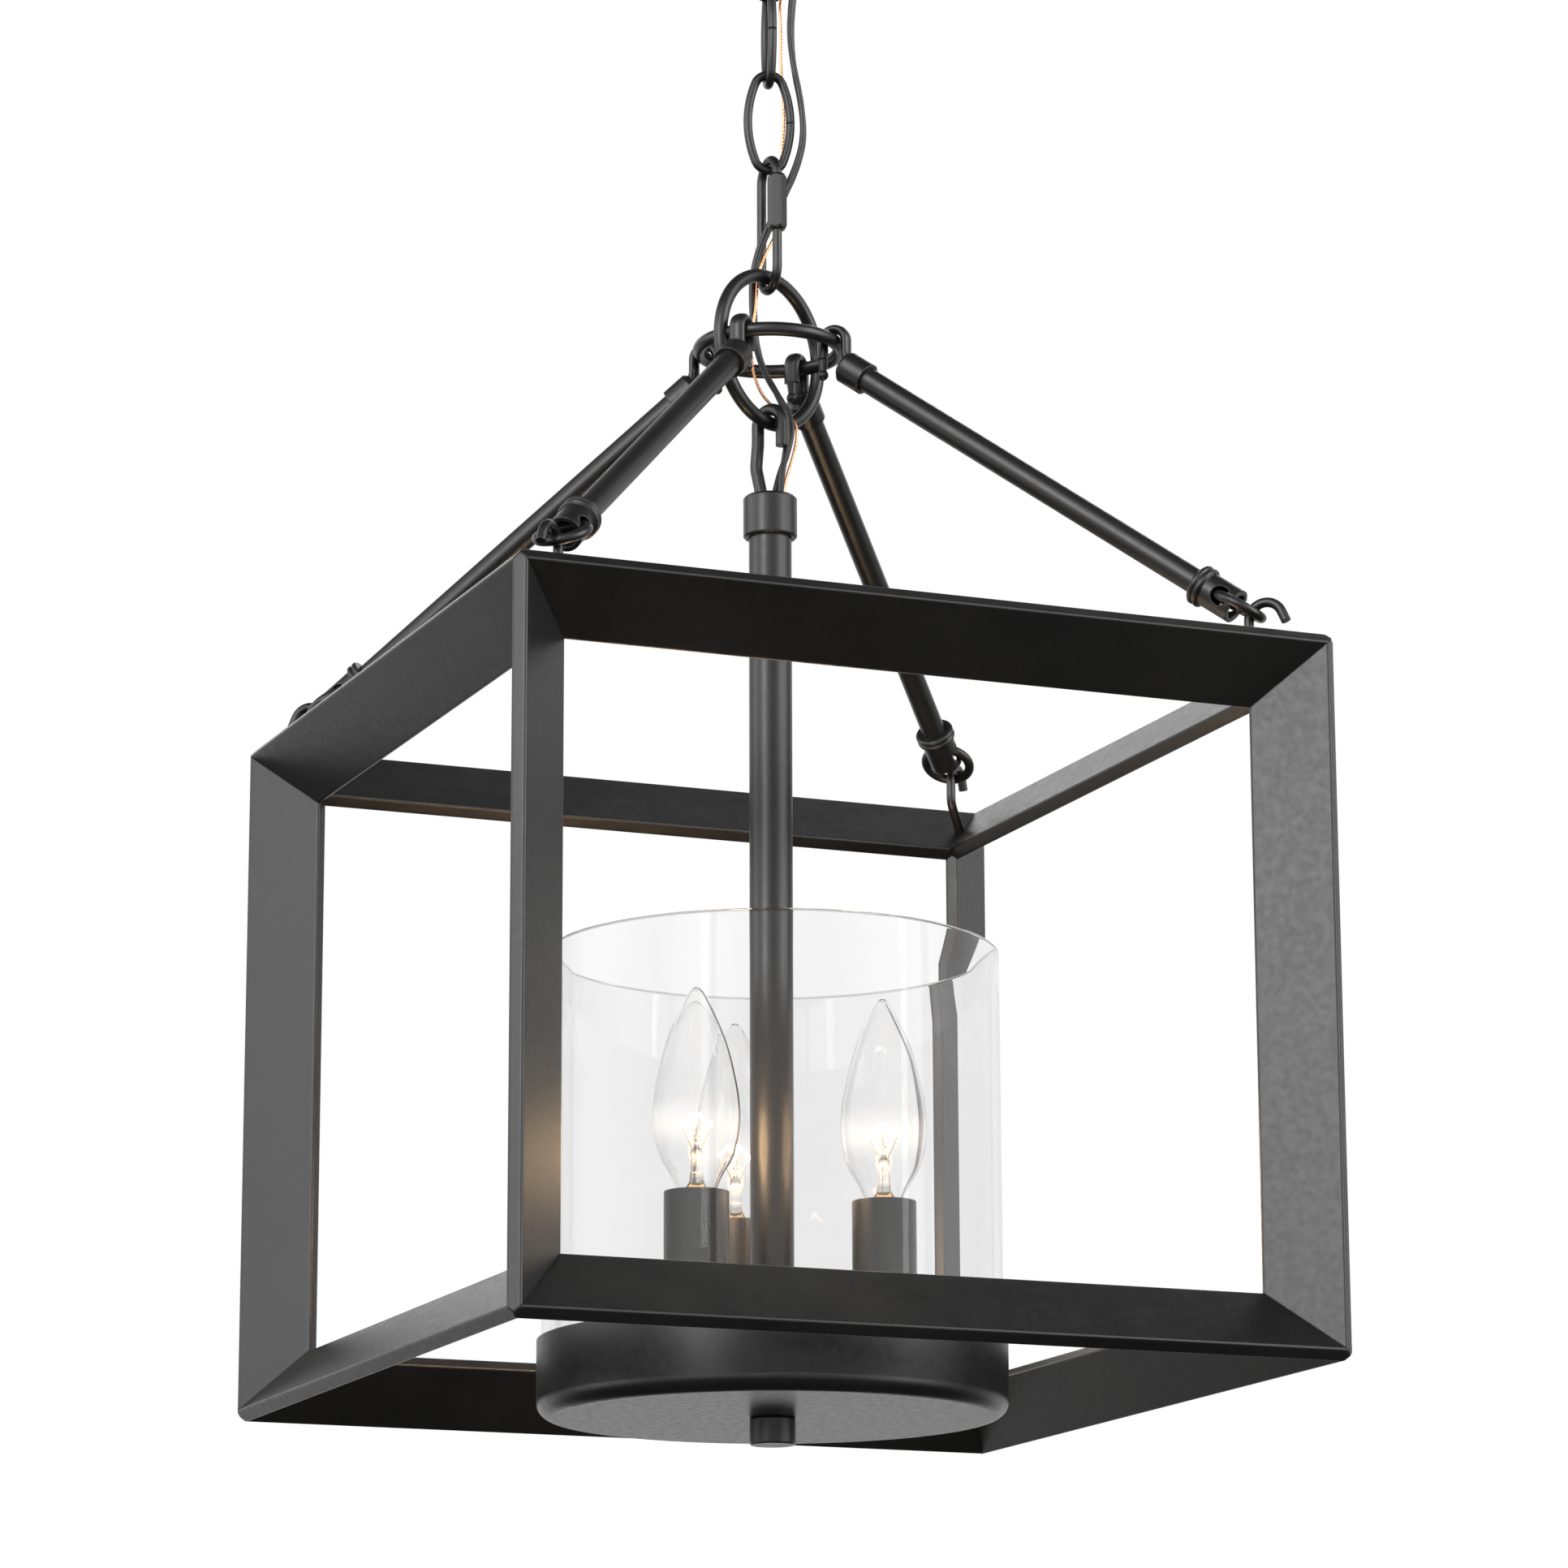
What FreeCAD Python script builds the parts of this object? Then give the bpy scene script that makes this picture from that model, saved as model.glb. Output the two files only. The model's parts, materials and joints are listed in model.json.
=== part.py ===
import FreeCAD, Part
import math
import operator
import os
import Sketcher

from types import SimpleNamespace
from FreeCAD import Placement, Rotation, Vector

# A hanging lantern. An open frame of flat bar hangs by four rods from two welded rings. A stem
# with a round pan, a glass cylinder and three candle lamps hangs from the same rings. The rings
# hang from a ceiling canopy by a quick link and a short chain.
# Millimetres, +Z up, origin at the centre of the ceiling crossbar's top face.

SIZES = {
    # ceiling end
    "crossbar_long": 101.0,
    "crossbar_wide": 19.0,
    "crossbar_thick": 2.5,
    "slot_spacing": 79.4,
    "slot_long": 23.5,
    "slot_wide": 4.5,
    "nipple_across": 10.3,
    "nipple_bore": 7.6,
    "nipple_long": 34.0,
    "nipple_above": 6.0,
    "nut_across": 15.6,
    "nut_thick": 3.0,
    "canopy_across": 127.0,
    "canopy_deep": 25.0,
    "canopy_round": 6.0,
    "sheet_wall": 1.2,
    "collar_across": 21.0,
    "collar_long": 18.0,
    "collar_bore": 8.4,
    "collar_ring_across": 29.0,
    "collar_ring_thick": 3.6,
    "loop_wire": 5.0,
    "loop_radius": 8.2,
    "loop_drop": 55.5,
    # chain and quick link
    "touch_gap": 0.3,
    "fit_gap": 0.05,
    "link_wire": 3.6,
    "link_half_long": 20.45,
    "link_half_wide": 8.7,
    "link_end_radius": 6.0,
    "link_seam": 0.4,
    "quick_wire": 3.8,
    "quick_long": 54.5,
    "quick_wide": 16.6,
    "quick_opening": 9.0,
    "sleeve_across": 7.9,
    "sleeve_long": 23.4,
    # welded rings
    "ring_wire": 5.6,
    "level_radius": 28.0,
    "upright_radius": 30.5,
    # hanger rods
    "rod_across": 10.0,
    "rod_bore": 7.8,
    "rod_long": 185.0,
    "cap_across": 13.0,
    "cap_long": 12.0,
    "cap_top": 2.5,
    "strap_wide": 6.4,
    "strap_thick": 3.8,
    "strap_ball": 4.4,
    "ferrule_across": 13.6,
    "ferrule_long": 18.5,
    "bead_across": 16.2,
    "bead_edge": 0.7,
    "cross_hole": 7.6,
    "eye_wire": 3.9,
    "eye_radius": 9.4,
    # frame
    "frame_wide": 330.0,
    "frame_tall": 277.0,
    "bar_thick": 6.0,
    "bar_deep": 32.4,
    "bar_round": 1.0,
    "corner_hook_wire": 3.8,
    # stem and lamps
    "stem_hook_wire": 5.0,
    "stem_cap_across": 21.4,
    "stem_cap_long": 17.0,
    "stem_cap_top": 2.0,
    "stem_across": 17.0,
    "stem_bore": 14.6,
    "pan_across": 181.0,
    "pan_tall": 29.5,
    "pan_round": 6.0,
    "plate_across": 168.0,
    "plate_thick": 2.0,
    "plate_lift": 8.3,
    "plug_long": 8.0,
    "neck_across": 6.0,
    "neck_long": 7.4,
    "stud_across": 5.0,
    "stud_long": 8.5,
    "lead_hole": 3.6,
    "finial_across": 17.6,
    "finial_tall": 10.2,
    "glass_across": 177.4,
    "glass_wall": 3.0,
    "glass_tall": 177.8,
    "glass_lift": 1.95,
    "lamp_circle": 43.8,
    "cover_across": 24.8,
    "cover_bore": 22.8,
    "cover_tall": 70.5,
    "holder_across": 20.5,
    "holder_post": 10.0,
    "holder_bore": 12.6,
    "holder_drop": 2.0,
    "bulb_across": 33.4,
    "bulb_tall": 79.4,
    "base_across": 11.9,
    "base_long": 20.0,
    # cords
    "conductor_across": 2.5,
    "earth_across": 1.2,
}

# Directions, in degrees about Z, of the pieces that hang loose
CHAIN_TURNS = {"top": -12.5, "upper": 77.5, "lower": -12.5}
LOOP_TURN = 77.5
QUICK_TURN = -90.0
UPRIGHT_TURN = 28.3
STEM_HOOK_TURN = -61.7
LAMP_TURNS = (-32.85, -152.85, 87.15)
CORNER_TURNS = {"front_left": -135, "front_right": -45, "rear_right": 45, "rear_left": 135}


class Size:
    """A length together with the spreadsheet expression that gives it."""

    def __init__(self, value, text):
        self.value = value
        self.text = text

    def __float__(self):
        return self.value

    def __neg__(self):
        return Size(-self.value, f"(-{self.text})")


def as_size(length):
    return length if isinstance(length, Size) else Size(float(length), f"({float(length)})")


def arithmetic(sign, work):
    """Both orders of an arithmetic operator that keeps value and expression together."""

    def forward(self, other):
        a, b = as_size(self), as_size(other)
        return Size(work(a.value, b.value), f"({a.text} {sign} {b.text})")

    def backward(self, other):
        return forward(other, self)

    return forward, backward


Size.__add__, Size.__radd__ = arithmetic("+", operator.add)
Size.__sub__, Size.__rsub__ = arithmetic("-", operator.sub)
Size.__mul__, Size.__rmul__ = arithmetic("*", operator.mul)
Size.__truediv__, Size.__rtruediv__ = arithmetic("/", operator.truediv)

doc = FreeCAD.newDocument("hanging_lantern")
sheet = doc.addObject("Spreadsheet::Sheet", "sizes")
for row, (alias, value) in enumerate(SIZES.items(), 1):
    sheet.set(f"A{row}", alias)
    sheet.set(f"B{row}", str(value))
    sheet.setAlias(f"B{row}", alias)
doc.recompute()

S = SimpleNamespace(**{alias: Size(float(sheet.get(alias)), f"sizes.{alias}") for alias in SIZES})
ORIGIN = Vector(0, 0, 0)
X_AXIS, Y_AXIS, Z_AXIS = Vector(1, 0, 0), Vector(0, 1, 0), Vector(0, 0, 1)

# Heights that follow from the sizes, from the ceiling down
link_step = float(2 * S.link_half_long - S.link_wire - S.touch_gap)
top_link_z = float((S.loop_wire + S.link_wire) / 2 + S.touch_gap - S.loop_drop - S.link_half_long)
link_bottom_z = top_link_z - 2 * link_step - float(S.link_half_long)
quick_top_z = link_bottom_z + float((S.link_wire + S.quick_wire) / 2 + S.touch_gap)
quick_z = quick_top_z - float(S.quick_long) / 2
upright_top_z = quick_top_z + float((S.quick_wire + S.ring_wire) / 2 + S.touch_gap - S.quick_long)
ring_z = upright_top_z - float(S.upright_radius)
upright_bottom_z = ring_z - float(S.upright_radius)
frame_top_z = ring_z - 141.4
frame_bottom_z = frame_top_z - float(S.frame_tall)
stem_cap_z = upright_bottom_z - 30.7
stem_top_z = stem_cap_z - float(S.stem_cap_top)
pan_z = frame_bottom_z - 9.5
floor_z = pan_z + float(S.sheet_wall)
stem_bottom_z = floor_z + float(S.neck_long)
plate_z = floor_z + float(S.plate_lift)
cover_z = plate_z + float(S.plate_thick)
bulb_z = cover_z + float(S.cover_tall)
glass_z = floor_z + float(S.glass_lift)

nodes = []


# ---- objects


def bind(obj, **lengths):
    """Drives each property of an object by the expression of a size."""
    for prop, length in lengths.items():
        obj.setExpression(prop, as_size(length).text)
    return obj


def make(kind, name, at=None, **lengths):
    """An object of that kind with bound lengths, at a height or a placement."""
    obj = bind(doc.addObject(kind, name), **lengths)
    if isinstance(at, Placement):
        obj.Placement = at
    elif at is not None:
        obj.Placement = turned(0, at)
    return obj


def cylinder(name, across, tall, at=0):
    return make("Part::Cylinder", name, at, Radius=across / 2, Height=tall)


def cut(name, base, *tools):
    obj = doc.addObject("Part::Cut", name)
    obj.Base = base
    obj.Tool = tools[0] if len(tools) == 1 else fuse(name + "_cutters", *tools)
    return obj


def fuse(name, *shapes):
    obj = doc.addObject("Part::MultiFuse", name)
    obj.Shapes = list(shapes)
    return obj


def group(name, *shapes):
    """Separate solids kept together under one name."""
    obj = doc.addObject("Part::Compound", name)
    obj.Links = list(shapes)
    return obj


def tube(name, across, bore, tall, at=0):
    """A tube standing on its lower end."""
    hole = cylinder(name + "_bore", bore, tall + 2, shifted(at, -1))
    return cut(name, cylinder(name + "_outside", across, tall, at), hole)


def shifted(at, dz):
    """A height or placement moved along its own Z."""
    if isinstance(at, Placement):
        return at.multiply(Placement(Vector(0, 0, dz), Rotation()))
    return at + dz


def node(obj, name, place=None):
    """Names an object as a sub-part of the lantern and puts it in its place."""
    obj.Label = name
    if place is not None:
        obj.Placement = place
    nodes.append(obj)
    return obj


def turned(degrees, z=0.0):
    """A turn about the lantern's axis, at a height."""
    return Placement(Vector(0, 0, z), Rotation(Z_AXIS, degrees))


def upright(degrees, z=0.0):
    """Stands a flat XY shape in the vertical plane at that turn: its Y becomes the height."""
    return turned(degrees, z).multiply(Placement(ORIGIN, Rotation(X_AXIS, 90)))


# ---- bent wire and cord


def line(a, b):
    return Part.LineSegment(a, b).toShape()


def arc(centre, radius, start, end):
    """An arc in the XY plane from one angle to another, in degrees."""
    angles = [math.radians(a) for a in (start, (start + end) / 2, end)]
    points = [centre + Vector(math.cos(a), math.sin(a), 0) * float(radius) for a in angles]
    return Part.Arc(*points).toShape()


def bent(points, radii):
    """Straight runs through points, joined at each corner by a tangent arc of that radius."""
    edges = []
    start = points[0]
    for before, at, after, radius in zip(points, points[1:], points[2:], radii):
        back = (before - at).normalize()
        onward = (after - at).normalize()
        half_turn = (math.pi - back.getAngle(onward)) / 2
        reach = radius * math.tan(half_turn)
        sagitta = radius / math.cos(half_turn) - radius
        ends = at + back * reach, at + onward * reach
        edges.append(line(start, ends[0]))
        edges.append(Part.Arc(ends[0], at + (back + onward).normalize() * sagitta, ends[1]).toShape())
        start = ends[1]
    edges.append(line(start, points[-1]))
    return edges


def swept(name, edges, profile="Part::Circle", **lengths):
    """A round or oval section swept along edges; an oval's long way is square to the XY plane."""
    path = doc.addObject("Part::Feature", name + "_path")
    path.Shape = Part.Wire(edges)
    first = edges[0]
    along = first.tangentAt(first.FirstParameter)
    square = Rotation(Z_AXIS, along) if profile == "Part::Circle" else Rotation(Z_AXIS, ORIGIN, along, "ZXY")
    start = Placement(first.valueAt(first.FirstParameter), square)
    section = make(profile, name + "_section", start, **lengths)
    sweep = doc.addObject("Part::Sweep", name)
    sweep.Sections = [section]
    sweep.Spine = (path, [f"Edge{i + 1}" for i in range(len(edges))])
    sweep.Solid = True
    return sweep


def cord(name, across, route):
    """A tube along hand-placed points, its bends as wide as the runs beside them allow."""
    points = [Vector(*point) for point in route]
    radii = []
    for before, at, after in zip(points, points[1:], points[2:]):
        half_turn = (math.pi - (before - at).getAngle(after - at)) / 2
        run = min((before - at).Length, (after - at).Length)
        radii.append(0.45 * run / math.tan(half_turn))
    edges = bent(points, radii)
    length = sum(edge.Length for edge in edges)
    print(f"{name}: length {length:.0f}, tightest bend {min(radii):.1f}, across {float(across)}")
    return swept(name, edges, Radius=across / 2), length * math.pi * float(across) ** 2 / 4


# ---- turned pieces


def sketch_on(body, role, name):
    sketch = body.newObject("Sketcher::SketchObject", name)
    plane = next(feature for feature in body.Origin.OriginFeatures if feature.Role == role)
    sketch.AttachmentSupport = [(plane, "")]
    sketch.MapMode = "FlatFace"
    return sketch


def outline(sketch, points):
    """A closed outline whose corners are each held by two driving sizes."""
    corners = [(as_size(across), as_size(up)) for across, up in points]
    count = len(corners)
    for i in range(count):
        ends = [Vector(float(a), float(b), 0) for a, b in (corners[i], corners[(i + 1) % count])]
        sketch.addGeometry(Part.LineSegment(*ends), False)
    for i in range(count):
        sketch.addConstraint(Sketcher.Constraint("Coincident", i, 2, (i + 1) % count, 1))
    for i, corner in enumerate(corners):
        for kind, axis, size in zip(("DistanceX", "DistanceY"), (-2, -1), corner):
            if abs(size.value) < 1e-9:
                sketch.addConstraint(Sketcher.Constraint("PointOnObject", i, 1, axis))
            else:
                made = sketch.addConstraint(Sketcher.Constraint(kind, -1, 1, i, 1, size.value))
                sketch.setExpression(f"Constraints[{made}]", size.text)
    return sketch


def lathe(name, points):
    """A body turned about Z from an outline of (radius, height) corners."""
    body = doc.addObject("PartDesign::Body", name)
    sketch = outline(sketch_on(body, "XZ_Plane", name + "_outline"), points)
    turn = body.newObject("PartDesign::Revolution", name + "_turn")
    turn.Profile = sketch
    turn.ReferenceAxis = (sketch, ["V_Axis"])
    turn.Angle = 360
    body.Tip = turn
    return body


def rounded(name, base, rounds):
    """Rounds circular edges, each found by its radius and height, by a given radius."""
    doc.recompute()
    edges = []
    for i, edge in enumerate(base.Shape.Edges, 1):
        if not isinstance(edge.Curve, Part.Circle):
            continue
        for across, height, radius in rounds:
            same_radius = abs(edge.Curve.Radius - float(across) / 2) < 0.01
            if same_radius and abs(edge.Curve.Center.z - float(height)) < 0.01:
                edges.append((i, float(radius), float(radius)))
    obj = doc.addObject("Part::Fillet", name)
    obj.Base = base
    obj.Edges = edges
    return obj


def dish(name, across, tall, wall, bend, hole):
    """A round sheet-metal dish standing on its closed side, with a centre hole."""
    r = across / 2
    shape = lathe(name + "_sheet", [
        (hole / 2, 0), (r, 0), (r, tall), (r - wall, tall), (r - wall, wall), (hole / 2, wall),
    ])
    return rounded(name, shape, [(across, 0, bend), (across - 2 * wall, wall, bend - wall)])


# ---- ceiling end


def crossbar():
    corner = Vector(-float(S.crossbar_long) / 2, -float(S.crossbar_wide) / 2, -float(S.crossbar_thick))
    plate = make(
        "Part::Box", "crossbar_plate", Placement(corner, Rotation()),
        Length=S.crossbar_long, Width=S.crossbar_wide, Height=S.crossbar_thick,
    )
    low, tall = corner.z * 1.5, S.crossbar_thick * 2
    cutters = [cylinder("crossbar_hole", S.nipple_across + 2 * S.fit_gap, tall, low)]
    straight = S.slot_long - S.slot_wide
    for side, name in ((-1, "left"), (1, "right")):
        middle = side * float(S.slot_spacing) / 2
        start = Vector(middle - float(straight) / 2, -float(S.slot_wide) / 2, low)
        cutters.append(make(
            "Part::Box", f"slot_{name}", Placement(start, Rotation()),
            Length=straight, Width=S.slot_wide, Height=tall,
        ))
        for end in (-1, 1):
            at = Placement(Vector(middle + end * float(straight) / 2, 0, low), Rotation())
            cutters.append(cylinder(f"slot_end_{name}", S.slot_wide, tall, at))
    node(cut("crossbar_bar", plate, *cutters), "crossbar")


def nipple_and_nuts():
    low = float(S.nipple_above - S.nipple_long)
    node(tube("nipple_tube", S.nipple_across, S.nipple_bore, S.nipple_long), "canopy_nipple", turned(0, low))
    nuts = []
    for name, z in (("upper", 0), ("lower", -float(S.crossbar_thick + S.nut_thick))):
        hexagon = make("Part::Prism", f"nut_{name}", z, Circumradius=S.nut_across / 2, Height=S.nut_thick)
        hole = cylinder(f"nut_hole_{name}", S.nipple_across + 2 * S.fit_gap, S.nut_thick + 2, z - 1)
        nuts.append(cut(f"nut_body_{name}", hexagon, hole))
    node(group("nuts", *nuts), "nipple_nuts")


def canopy_and_collar():
    down = Placement(Vector(0, 0, -float(S.canopy_deep)), Rotation())
    hole = S.collar_across + 1
    shell = dish("canopy_shell", S.canopy_across, S.canopy_deep, S.sheet_wall, S.canopy_round, hole)
    node(shell, "canopy", down)
    top = -float(S.canopy_deep) + 6
    bottom = top - float(S.collar_long)
    deep = S.collar_long / 2
    thread = S.nipple_across / 2 + S.fit_gap
    collar = lathe("collar", [
        (S.collar_bore / 2, 0), (S.collar_across / 2 - 1, 0), (S.collar_across / 2, 1),
        (S.collar_across / 2, S.collar_long), (thread, S.collar_long), (thread, deep),
        (S.collar_bore / 2, deep),
    ])
    collar.Placement = turned(0, bottom)
    bend_z = -float(S.loop_drop - S.loop_radius)
    leg = float(S.loop_radius)
    ends = [Vector(side * leg, bottom + 1.5, 0) for side in (-1, 1)]
    turns = [Vector(side * leg, bend_z, 0) for side in (-1, 1)]
    path = [line(ends[0], turns[0]), arc(Vector(0, bend_z, 0), leg, 180, 360), line(turns[1], ends[1])]
    loop = swept("loop", path, Radius=S.loop_wire / 2)
    loop.Placement = upright(LOOP_TURN)
    node(fuse("collar_with_loop", collar, loop), "collar_loop")
    ring_low = -float(S.canopy_deep + S.collar_ring_thick) - 0.05
    r = S.collar_ring_across / 2
    inner = S.collar_across / 2 + S.fit_gap
    ring = lathe("collar_nut", [
        (inner, 0), (r - 1.2, 0), (r, 1.2), (r, S.collar_ring_thick), (inner, S.collar_ring_thick),
    ])
    node(ring, "collar_ring", turned(0, ring_low))


# ---- chain and quick link


def chain():
    """Oval links bent from wire, each with its butt seam in the middle of one leg."""
    end = float(S.link_end_radius)
    across = float(S.link_half_wide)
    rise = float(S.link_half_long) - end
    side = (rise**2 + across**2 - end**2) / (2 * (across - end))
    lean = math.degrees(math.atan2(rise, side - across))
    seam = math.degrees(float(S.link_seam) / 2 / side)
    right, left = Vector(across - side, 0, 0), Vector(side - across, 0, 0)
    path = [
        arc(right, side, seam, lean),
        arc(Vector(0, rise, 0), end, lean, 180 - lean),
        arc(left, side, 180 - lean, 180 + lean),
        arc(Vector(0, -rise, 0), end, 180 + lean, 360 - lean),
        arc(right, side, -lean, -seam),
    ]
    seam_turns = {"top": 180, "upper": 180, "lower": 0}
    for i, (name, turn) in enumerate(CHAIN_TURNS.items()):
        link = swept(f"{name}_link_wire", path, Radius=S.link_wire / 2)
        z = top_link_z - i * link_step
        node(link, f"{name}_chain_link", upright(turn + seam_turns[name], z))


def quick_link():
    """A bent wire left open in one leg, and the hexagonal nut that closes the opening."""
    r = float(S.quick_wide) / 2
    straight = float(S.quick_long) / 2 - r
    gap_top = straight - 3
    gap_low = gap_top - float(S.quick_opening)
    path = [
        line(Vector(r, gap_top, 0), Vector(r, straight, 0)),
        arc(Vector(0, straight, 0), r, 0, 180),
        line(Vector(-r, straight, 0), Vector(-r, -straight, 0)),
        arc(Vector(0, -straight, 0), r, 180, 360),
        line(Vector(r, -straight, 0), Vector(r, gap_low, 0)),
    ]
    wire = swept("quick_wire_bent", path, Radius=S.quick_wire / 2)
    node(wire, "quick_link", upright(QUICK_TURN, quick_z))
    hexagon = make("Part::Prism", "sleeve_hexagon", Circumradius=S.sleeve_across / 2, Height=S.sleeve_long)
    radius = S.sleeve_across / 2
    ends = lathe("sleeve_ends", [
        (0, 0), (radius - 0.9, 0), (radius, 1.6), (radius, S.sleeve_long - 1.6),
        (radius - 0.9, S.sleeve_long), (0, S.sleeve_long),
    ])
    shaped = doc.addObject("Part::Common", "sleeve_shaped")
    shaped.Base = hexagon
    shaped.Tool = ends
    bore = cylinder("sleeve_bore", S.quick_wire + 2 * S.fit_gap, S.sleeve_long + 2, -1)
    seat = quick_z + straight - float(S.sleeve_long)
    at = turned(QUICK_TURN, seat).multiply(Placement(Vector(r, 0, 0), Rotation()))
    node(cut("sleeve", shaped, bore), "quick_link_sleeve", at)


def welded_rings():
    def ring(name, radius, at):
        return make("Part::Torus", name, at, Radius1=radius, Radius2=S.ring_wire / 2)

    upright_at = upright(UPRIGHT_TURN, ring_z)
    node(ring("upright_torus", S.upright_radius, upright_at), "upright_ring")
    crossing = ring("crossing_torus", S.upright_radius, upright_at)
    level = ring("level_torus", S.level_radius, turned(UPRIGHT_TURN + 90, ring_z))
    node(cut("level_ring_cut", level, crossing), "level_ring")


# ---- hanger rods. Across and up in the vertical plane through each corner, from the ring centre

ROD_TOP = Vector(32.0, -10.4, 0)
ROD_SLOPE = 35.97
ROD_DIRECTION = Vector(math.cos(math.radians(ROD_SLOPE)), -math.sin(math.radians(ROD_SLOPE)), 0)
EYE_AT = ROD_TOP + ROD_DIRECTION * 190.8
EYE_SLOPE = 31.05
EYE_DIRECTION = Vector(math.cos(math.radians(EYE_SLOPE)), -math.sin(math.radians(EYE_SLOPE)), 0)
CURL_AT = Vector(204.8, -133.6, 0)


def rod_place(turn, along=0.0):
    """Local Z runs down the rod from its hook, local Y is level."""
    tilt = Placement(Vector(ROD_TOP.x, 0, ROD_TOP.y), Rotation(Y_AXIS, 90 + ROD_SLOPE))
    return shifted(turned(turn, ring_z).multiply(tilt), along)


def hook_cap(corner, turn):
    """A cup on the rod's end with a flat hook that closes over the level ring."""
    r = S.cap_across / 2
    bore = S.rod_across / 2 + S.fit_gap
    cup = lathe(f"{corner}_cup", [
        (0, 0), (r - 1.5, 0), (r, 1.5), (r, S.cap_long), (bore, S.cap_long), (bore, S.cap_top), (0, S.cap_top),
    ])
    cup.Placement = rod_place(turn)
    ring = float(S.level_radius)
    strap_radius = float(S.ring_wire + S.strap_thick) / 2 + float(S.touch_gap)
    outer, inner = ring + strap_radius, ring - strap_radius
    foot = [Vector(35.6, -11.6, 0), Vector(outer, -6.5, 0), Vector(outer, 0, 0)]
    path = bent(foot, [8.0]) + [
        arc(Vector(ring, 0, 0), strap_radius, 0, 180),
        line(Vector(inner, 0, 0), Vector(inner, -7, 0)),
    ]
    strap = swept(
        f"{corner}_strap", path, "Part::Ellipse", MajorRadius=S.strap_wide / 2, MinorRadius=S.strap_thick / 2
    )
    strap.Placement = upright(turn, ring_z)
    down = turned(turn, ring_z).multiply(Placement(Vector(inner, 0, -6.8), Rotation(X_AXIS, 180)))
    taper = make(
        "Part::Cone", f"{corner}_taper", down,
        Radius1=S.strap_thick / 2 + 0.2, Radius2=S.strap_thick / 2 - 0.6, Height=6,
    )
    ball = make("Part::Sphere", f"{corner}_ball", shifted(down, 6.5), Radius=S.strap_ball / 2)
    node(fuse(f"{corner}_hook_cap_whole", cup, strap, taper, ball), f"{corner}_hook_cap")


def ferrule(corner, turn):
    """A beaded collar on the rod's lower end, drilled across for the wire ring."""
    bead, edge = S.bead_across / 2, S.bead_edge
    bore = S.rod_across / 2 + S.fit_gap
    profile = [
        (bore, 0), (bead - edge, 0), (bead, edge), (bead, edge + 1.0), (bead - edge, 2 * edge + 1.0),
        (bead, 3 * edge + 1.0), (bead, 3 * edge + 2.0), (bead - edge, 4 * edge + 2.0),
        (S.ferrule_across / 2, 4 * edge + 2.0), (S.ferrule_across / 2, S.ferrule_long), (bore, S.ferrule_long),
    ]
    barrel = lathe(f"{corner}_barrel", profile)
    start = 180.5
    barrel.Placement = rod_place(turn, start)
    hole_at = EYE_AT + EYE_DIRECTION * 2.6
    across = turned(turn, ring_z).multiply(Placement(Vector(hole_at.x, -15, hole_at.y), Rotation(X_AXIS, -90)))
    hole = cylinder(f"{corner}_cross_hole", S.cross_hole, 30, across)
    node(cut(f"{corner}_ferrule_drilled", barrel, hole), f"{corner}_ferrule")


def wire_ring(corner, turn):
    middle = EYE_AT + EYE_DIRECTION * float(S.eye_radius)
    tilt = Placement(Vector(middle.x, 0, middle.y), Rotation(Y_AXIS, EYE_SLOPE))
    at = turned(turn, ring_z).multiply(tilt)
    ring = make("Part::Torus", f"{corner}_eye", at, Radius1=S.eye_radius, Radius2=S.eye_wire / 2)
    node(ring, f"{corner}_wire_ring")


def hanger_rods():
    for corner, turn in CORNER_TURNS.items():
        hook_cap(corner, turn)
        at = rod_place(turn, float(S.cap_top))
        rod = tube(f"{corner}_rod", S.rod_across, S.rod_bore, S.rod_long)
        node(rod, f"{corner}_rod_tube", at)
        ferrule(corner, turn)
        wire_ring(corner, turn)


# ---- frame of flat bar, its narrow edges on the outer corners


def frame_bar(name, length, at, inward_a, inward_b):
    """A bar along one outer edge of the frame, mitred for its neighbours at both ends."""
    flat = S.bar_thick / math.sqrt(2)
    deep = S.bar_deep / math.sqrt(2)
    body = doc.addObject("PartDesign::Body", name)
    section = outline(
        sketch_on(body, "YZ_Plane", name + "_section"),
        [(flat, 0), (deep + flat, deep), (deep, deep + flat), (0, flat)],
    )
    pad = body.newObject("PartDesign::Pad", name + "_pad")
    pad.Profile = section
    pad.Midplane = True
    bind(pad, Length=length)
    doc.recompute()
    long_edges = [
        f"Edge{i}" for i, edge in enumerate(pad.Shape.Edges, 1)
        if abs(edge.tangentAt(edge.FirstParameter).x) > 0.99
    ]
    body.Tip = pad
    soft = body.newObject("PartDesign::Fillet", name + "_arris")
    soft.Base = (pad, long_edges)
    bind(soft, Radius=S.bar_round)
    doc.recompute()
    half, reach = length / 2, 40
    for role in ("XY_Plane", "XZ_Plane"):
        for side, end in ((-1, "start"), (1, "end")):
            mitre = outline(
                sketch_on(body, role, f"{name}_{role[:2]}_{end}"),
                [(side * (half + 1), -1), (side * (half - reach), reach), (side * (half + 1), reach)],
            )
            pocket = body.newObject("PartDesign::Pocket", f"{name}_mitre_{role[:2]}_{end}")
            pocket.Profile = mitre
            pocket.Midplane = True
            pocket.Length = 200
            doc.recompute()
    place = Placement(at, Rotation(inward_a.cross(inward_b), inward_a, inward_b, "XYZ"))
    node(body, name, place)


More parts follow.
